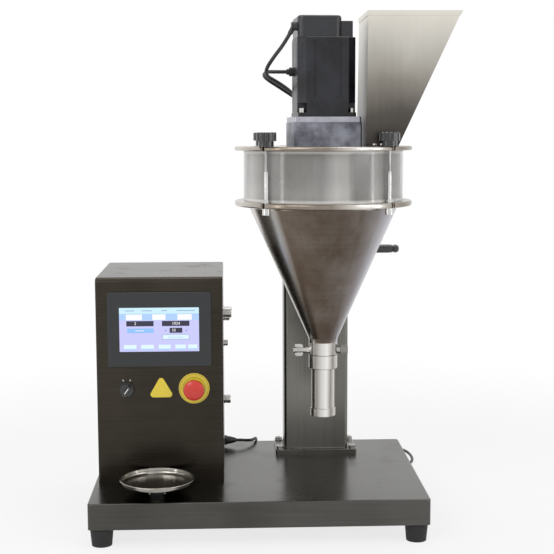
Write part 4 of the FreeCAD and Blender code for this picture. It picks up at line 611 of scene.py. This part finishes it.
def addScreenPicture(look):
    bm = bmesh.new()
    order = list(screenColours)

    def paintFaces(verts, colour):
        for face in {f for v in verts for f in v.link_faces}:
            face.material_index = order.index(colour)

    def tile(colour, u0, v0, u1, v1, layer=1):
        # one flat field; higher layers lie in front
        low, high = screenPlace(u0, v0, 0), screenPlace(u1, v1, 0)
        made = bmesh.ops.create_grid(bm, x_segments=1, y_segments=1, size=0.5)["verts"]
        bmesh.ops.scale(bm, vec=(high.x - low.x, high.z - low.z, 1), verts=made)
        bmesh.ops.rotate(bm, verts=made, cent=(0, 0, 0), matrix=Matrix.Rotation(math.pi / 2, 3, "X"))
        bmesh.ops.translate(bm, verts=made, vec=((low.x + high.x) / 2, glassLow.y - look["proud"] * layer,
                                                 (low.z + high.z) / 2))
        paintFaces(made, colour)

    tile("pale", *look["header"])
    tile("strip", *look["strip"])
    for u0, u1 in look["fields"]:
        tile("white", u0, look["fieldRow"][0], u1, look["fieldRow"][1], 2)
    for u0, u1 in look["buttons"]:
        tile("cyan", u0, look["buttonRow"][0], u1, look["buttonRow"][1], 1)
        tile("strip", u0, look["buttonRow"][0], u1, look["buttonRow"][0] + look["buttonFoot"], 2)
    for one in look["tiles"]:
        tile(*one)
    for side in (-1, 1):
        made = bmesh.ops.create_circle(bm, cap_ends=True, radius=look["arrow"], segments=3)["verts"]
        turn = Matrix.Rotation(math.pi / 2, 3, "X") @ Matrix.Rotation(0 if side < 0 else math.pi, 3, "Z")
        bmesh.ops.rotate(bm, verts=made, cent=(0, 0, 0), matrix=turn)
        spot = screenPlace(look["arrowAt"][0] + side * look["arrowOut"], look["arrowAt"][1], look["proud"])
        bmesh.ops.translate(bm, verts=made, vec=spot)
        paintFaces(made, "line")
    finishPiece("screenFields", bm, "base", list(screenColours.values()))


def addText(name, words, height, place, material):
    curve = bpy.data.curves.new(name, "FONT")
    curve.body = words
    curve.size = height
    curve.align_x = "CENTER"
    curve.align_y = "CENTER"
    writer = bpy.data.objects.new(name + "Text", curve)
    scene.collection.objects.link(writer)
    bpy.context.view_layer.update()
    mesh = bpy.data.meshes.new_from_object(writer.evaluated_get(bpy.context.evaluated_depsgraph_get()))
    bpy.data.objects.remove(writer)
    mesh.transform(Matrix.Translation(place) @ Matrix.Rotation(math.pi / 2, 4, "X"))
    mesh.name = name
    mesh.materials.clear()
    addPiece(name, mesh, "base", [material])


addScreenPicture(screen)
numbers = {"batchNumber": ("2", 0.20, 0.64), "countNumber": ("1024", 0.71, 0.64),
           "stepNumber": ("10", 0.68, 0.483)}
for name, (words, u, v) in numbers.items():
    spot = screenPlace(u, v, screen["proud"] * 2.2)
    addText(name, words, screen["numberHeight"], spot, screenColours["white"])


bezelHighlight = {"thick": 0.9 * mm, "back": 1.18 * mm, "corner": 6 * mm, "edge": 0.3 * mm}


def addBezelHighlight(look):
    # thin pale frame of four bars round the bezel's front: a painted highlight along its edges
    low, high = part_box("screen_bezel")
    bm = bmesh.new()
    thick = look["thick"]
    back = low.y + look["back"]
    width, height = (high - low).x - 2 * look["corner"], (high - low).z - 2 * look["corner"]
    for x in (low.x + thick, high.x - thick):
        addBar(bm, (thick, thick, height), Matrix.Translation((x, back, (low.z + high.z) / 2)), look["edge"])
    for z in (low.z + thick, high.z - thick):
        addBar(bm, (width, thick, thick), Matrix.Translation(((low.x + high.x) / 2, back, z)), look["edge"])
    finishPiece("bezelHighlight", bm, "base", [bezelHighlightFinish])


addBezelHighlight(bezelHighlight)
print("touch screen made")


# switches

switches = {"pointer": (1.6 * mm, 13 * mm), "turned": 35.0, "markOut": 20 * mm, "markSpread": 20.0,
            "markSize": (1.3 * mm, 4 * mm)}
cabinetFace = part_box("caution_plate")[1].y


def addSelectorMarks(look):
    low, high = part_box("selector_knob")
    middle = (low + high) / 2
    bm = bmesh.new()
    spot = Vector((middle.x, low.y - 0.05 * mm, middle.z))
    turn = Matrix.Rotation(math.radians(look["turned"]), 4, "Y")
    width, length = look["pointer"]
    addBar(bm, (width, 0.3 * mm, length),
           Matrix.Translation(spot) @ turn @ Matrix.Translation((0, 0, length * 0.12)), 0.1 * mm)
    finishPiece("selectorPointer", bm, "selector", [whitePaint])
    bm = bmesh.new()
    width, length = look["markSize"]
    for side in (-1, 1):
        turn = Matrix.Rotation(math.radians(side * look["markSpread"]), 4, "Y")
        addBar(bm, (width, 0.2 * mm, length), Matrix.Translation((middle.x, cabinetFace, middle.z)) @ turn
               @ Matrix.Translation((0, 0, look["markOut"])), 0.05 * mm)
    finishPiece("selectorMarks", bm, "base", [whitePaint])


addSelectorMarks(switches)


stopRings = {"shares": (0.93, 0.72), "thick": 0.25 * mm}


def addStopRings(look):
    # two fine dark rings printed on the yellow disc
    low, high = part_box("stop_disc")
    middle = (low + high) / 2
    bm = bmesh.new()
    radius = (high.x - low.x) / 2
    for share in look["shares"]:
        addRing(bm, radius * share, look["thick"], towards(toFront, (middle.x, low.y, middle.z)), 64, 6)
    finishPiece("stopDiscRings", bm, "base", [blackPlastic])


addStopRings(stopRings)
print("switches made")


# fasteners: dark hexagons on the screw heads, painted shade for their socket recesses, and threads on the
# rods

sockets = {"base_bolts": (upward, 0.42), "cover_screws": (-toFront, 0.40)}
shadeDiscThick = 0.06 * mm


# painted shade: a thin dark hexagon on each head stands in for the shade inside its socket
def addShadedSockets(node, axis, share):
    bm = bmesh.new()
    for low, high in solidsOf(node):
        middle = (low + high) / 2
        size = high - low
        if axis.y:
            across, top = min(size.x, size.z), (middle.x, high.y, middle.z)
        else:
            across, top = min(size.x, size.y), (middle.x, middle.y, high.z)
        addHexagon(bm, across / 2 * share, shadeDiscThick, towards(axis, top))
    finishPiece(node.title().replace("_", "") + "SocketShade", bm, "base", [darkSteel])


for node, (axis, share) in sockets.items():
    addShadedSockets(node, axis, share)

rodThread = {"radius": 3.0 * mm, "pitch": 1.25 * mm, "bottom": 46 * mm, "top": 8.5 * mm}


def addRodThreads(look):
    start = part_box("top_plate")[1].z - look["bottom"]
    bm = bmesh.new()
    for low, high in solidsOf("tie_rods"):
        spot = ((low.x + high.x) / 2, (low.y + high.y) / 2, start)
        addThread(bm, look["radius"], look["pitch"], look["bottom"] - look["top"], Matrix.Translation(spot))
    finishPiece("rodThreads", bm, "head", [darkSteel])


addRodThreads(rodThread)
print("fasteners made")


# welds: a rippled bead round the column's foot

weld = {"radius": 1.7 * mm, "ripple": 2.6 * mm, "corner": 8 * mm, "lift": 0.2 * mm}


def weldPaint(place):
    ripples = place.stretched(380, 380, 380).noise(1.0, 2.0, 0.4)
    heat = place.stretched(60, 60, 60).noise(1.0, 3.0, 0.5)
    return {"Base Color": heat.between((0.11, 0.10, 0.09), (0.30, 0.27, 0.23)),
            "Roughness": ripples * 0.2 + 0.3, "bump": (ripples, 0.6, 0.0006)}


weldSteel = surface("weld steel", {"Metallic": 1.0}, weldPaint)


def addWeld(look):
    # a bead along each side of the column's box section
    low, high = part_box("column_tube")
    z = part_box("column_foot")[1].z + look["lift"]
    x0, x1 = low.x + look["corner"], high.x - look["corner"]
    y0, y1 = low.y + look["corner"], high.y - look["corner"]
    sides = [((x0, low.y), (x1, low.y)), ((high.x, y0), (high.x, y1)),
             ((x1, high.y), (x0, high.y)), ((low.x, y1), (low.x, y0))]
    bm = bmesh.new()
    for first, last in sides:
        start, end = Vector((*first, z)), Vector((*last, z))
        count = int((end - start).length / look["ripple"])
        for index in range(count + 1):
            spot = start.lerp(end, index / count)
            bmesh.ops.create_uvsphere(bm, u_segments=8, v_segments=5, radius=look["radius"],
                                      matrix=Matrix.Translation(spot))
    finishPiece("columnWeld", bm, "base", [weldSteel], 80.0)


addWeld(weld)
print("welds made")


# cable ties

ties = {"width": 3.6 * mm, "thick": 0.1 * mm, "radii": (6.6 * mm, 6.5 * mm), "lift": 6.7 * mm,
        "catch": (5 * mm, 3.6 * mm, 5 * mm), "catchOut": 1.6 * mm, "catchEdge": 0.5 * mm, "turns": (70, 190)}


def addTie(name, body, place, direction, look):
    # a flat band round a bundle, with the block of its catch
    bm = bmesh.new()
    made = bmesh.ops.create_circle(bm, radius=1.0, segments=28)["verts"]
    bmesh.ops.scale(bm, vec=(*look["radii"], 1), verts=made)
    bmesh.ops.translate(bm, verts=made, vec=(0, 0, -look["width"] / 2))
    grown = bmesh.ops.extrude_edge_only(bm, edges=edgesOf(made))["geom"]
    bmesh.ops.translate(bm, verts=[v for v in grown if isinstance(v, bmesh.types.BMVert)],
                        vec=(0, 0, look["width"]))
    bmesh.ops.recalc_face_normals(bm, faces=bm.faces)
    bmesh.ops.solidify(bm, geom=list(bm.faces), thickness=-look["thick"])
    addBar(bm, look["catch"], Matrix.Translation((0, look["radii"][1] + look["catchOut"], 0)),
           look["catchEdge"])
    bmesh.ops.transform(bm, matrix=towards(direction, place), verts=bm.verts)
    finishPiece(name, bm, body, [tieNylon])


coilX, coilY = lead["middle"]
for index, turn in enumerate(ties["turns"]):
    cosine, sine = math.cos(math.radians(turn)), math.sin(math.radians(turn))
    spot = Vector((coilX + lead["radius"] * cosine, coilY + lead["radius"] * sine, ties["lift"]))
    addTie("coilTie%d" % (index + 1), "base", spot, Vector((-sine, cosine, 0)), ties)
print("ties made")


# floor, light and backdrop

def seenRays(tree):
    # 1 for rays that reach the picture as backdrop: straight, mirrored or through a clear wall
    rays = Shade(tree, tree.nodes.new("ShaderNodeLightPath").outputs["Is Camera Ray"])
    glossy = Shade(tree, rays.socket.node.outputs["Is Glossy Ray"])
    through = Shade(tree, rays.socket.node.outputs["Is Transmission Ray"])
    return (rays + glossy + through).rising(0.0, 1.0)


def stagePaint(name):
    material = bpy.data.materials.new(name)
    material.use_nodes = True
    tree = material.node_tree
    tree.nodes.remove(tree.nodes["Principled BSDF"])
    place = Shade(tree, tree.nodes.new("ShaderNodeTexCoord").outputs["Object"])
    x, y, z = place.split()
    far = ((x * x + y * y) ** 0.5).rising(0.7, 1.8)
    plain = place.make("ShaderNodeBsdfDiffuse", (), {"Color": (0.86, 0.86, 0.86, 1)})
    glow = place.make("ShaderNodeEmission", (), {"Color": (1, 1, 1, 1), "Strength": 1.0})
    share = seenRays(tree) * (far * 0.22 + 0.78)
    mixed = place.make("ShaderNodeMixShader", (), {0: share, 1: plain, 2: glow})
    tree.links.new(mixed.socket, tree.nodes["Material Output"].inputs["Surface"])
    return material


def addFloor():
    bm = bmesh.new()
    bmesh.ops.create_grid(bm, x_segments=8, y_segments=8, size=30.0)
    bmesh.ops.translate(bm, verts=bm.verts, vec=(0, 0, -0.0003))
    mesh = bpy.data.meshes.new("floor")
    bm.to_mesh(mesh)
    bm.free()
    floor = bpy.data.objects.new("floor", mesh)
    scene.collection.objects.link(floor)
    mesh.materials.append(stagePaint("floor paint"))


lamps = {
    "key": {"place": (-1.7, -2.3, 2.3), "aim": (0, 0, 0.5), "size": (1.5, 1.5), "power": 26.0},
    "fill": {"place": (2.3, -1.8, 1.4), "aim": (0, 0, 0.5), "size": (1.2, 1.6), "power": 12.0},
    "stripLeft": {"place": (-1.5, -0.9, 0.9), "aim": (0.1, -0.07, 0.7), "size": (0.16, 1.5), "power": 3.2},
    "stripRight": {"place": (1.6, -0.7, 0.8), "aim": (0.1, -0.07, 0.6), "size": (0.14, 1.4), "power": 2.6},
    "overhead": {"place": (0.1, 0.3, 2.9), "aim": (0, 0, 0.4), "size": (1.8, 1.2), "power": 14.0},
}


def addLamps():
    for name, look in lamps.items():
        data = bpy.data.lights.new(name, "AREA")
        data.shape = "RECTANGLE"
        data.size, data.size_y = look["size"]
        data.energy = look["power"]
        lamp = bpy.data.objects.new(name, data)
        scene.collection.objects.link(lamp)
        lamp.location = look["place"]
        lamp.rotation_mode = "QUATERNION"
        lamp.rotation_quaternion = (Vector(look["aim"]) - Vector(look["place"])).to_track_quat("-Z", "Y")


def addWorld():
    world = bpy.data.worlds.new("studio")
    world.use_nodes = True
    tree = world.node_tree
    ground = tree.nodes["Background"]
    strength = seenRays(tree) * 0.45 + 0.55
    tree.links.new(strength.socket, ground.inputs["Strength"])
    ground.inputs["Color"].default_value = (1, 1, 1, 1)
    scene.world = world


addFloor()
addLamps()
addWorld()
scene.view_settings.view_transform = "Standard"
print("stage set")
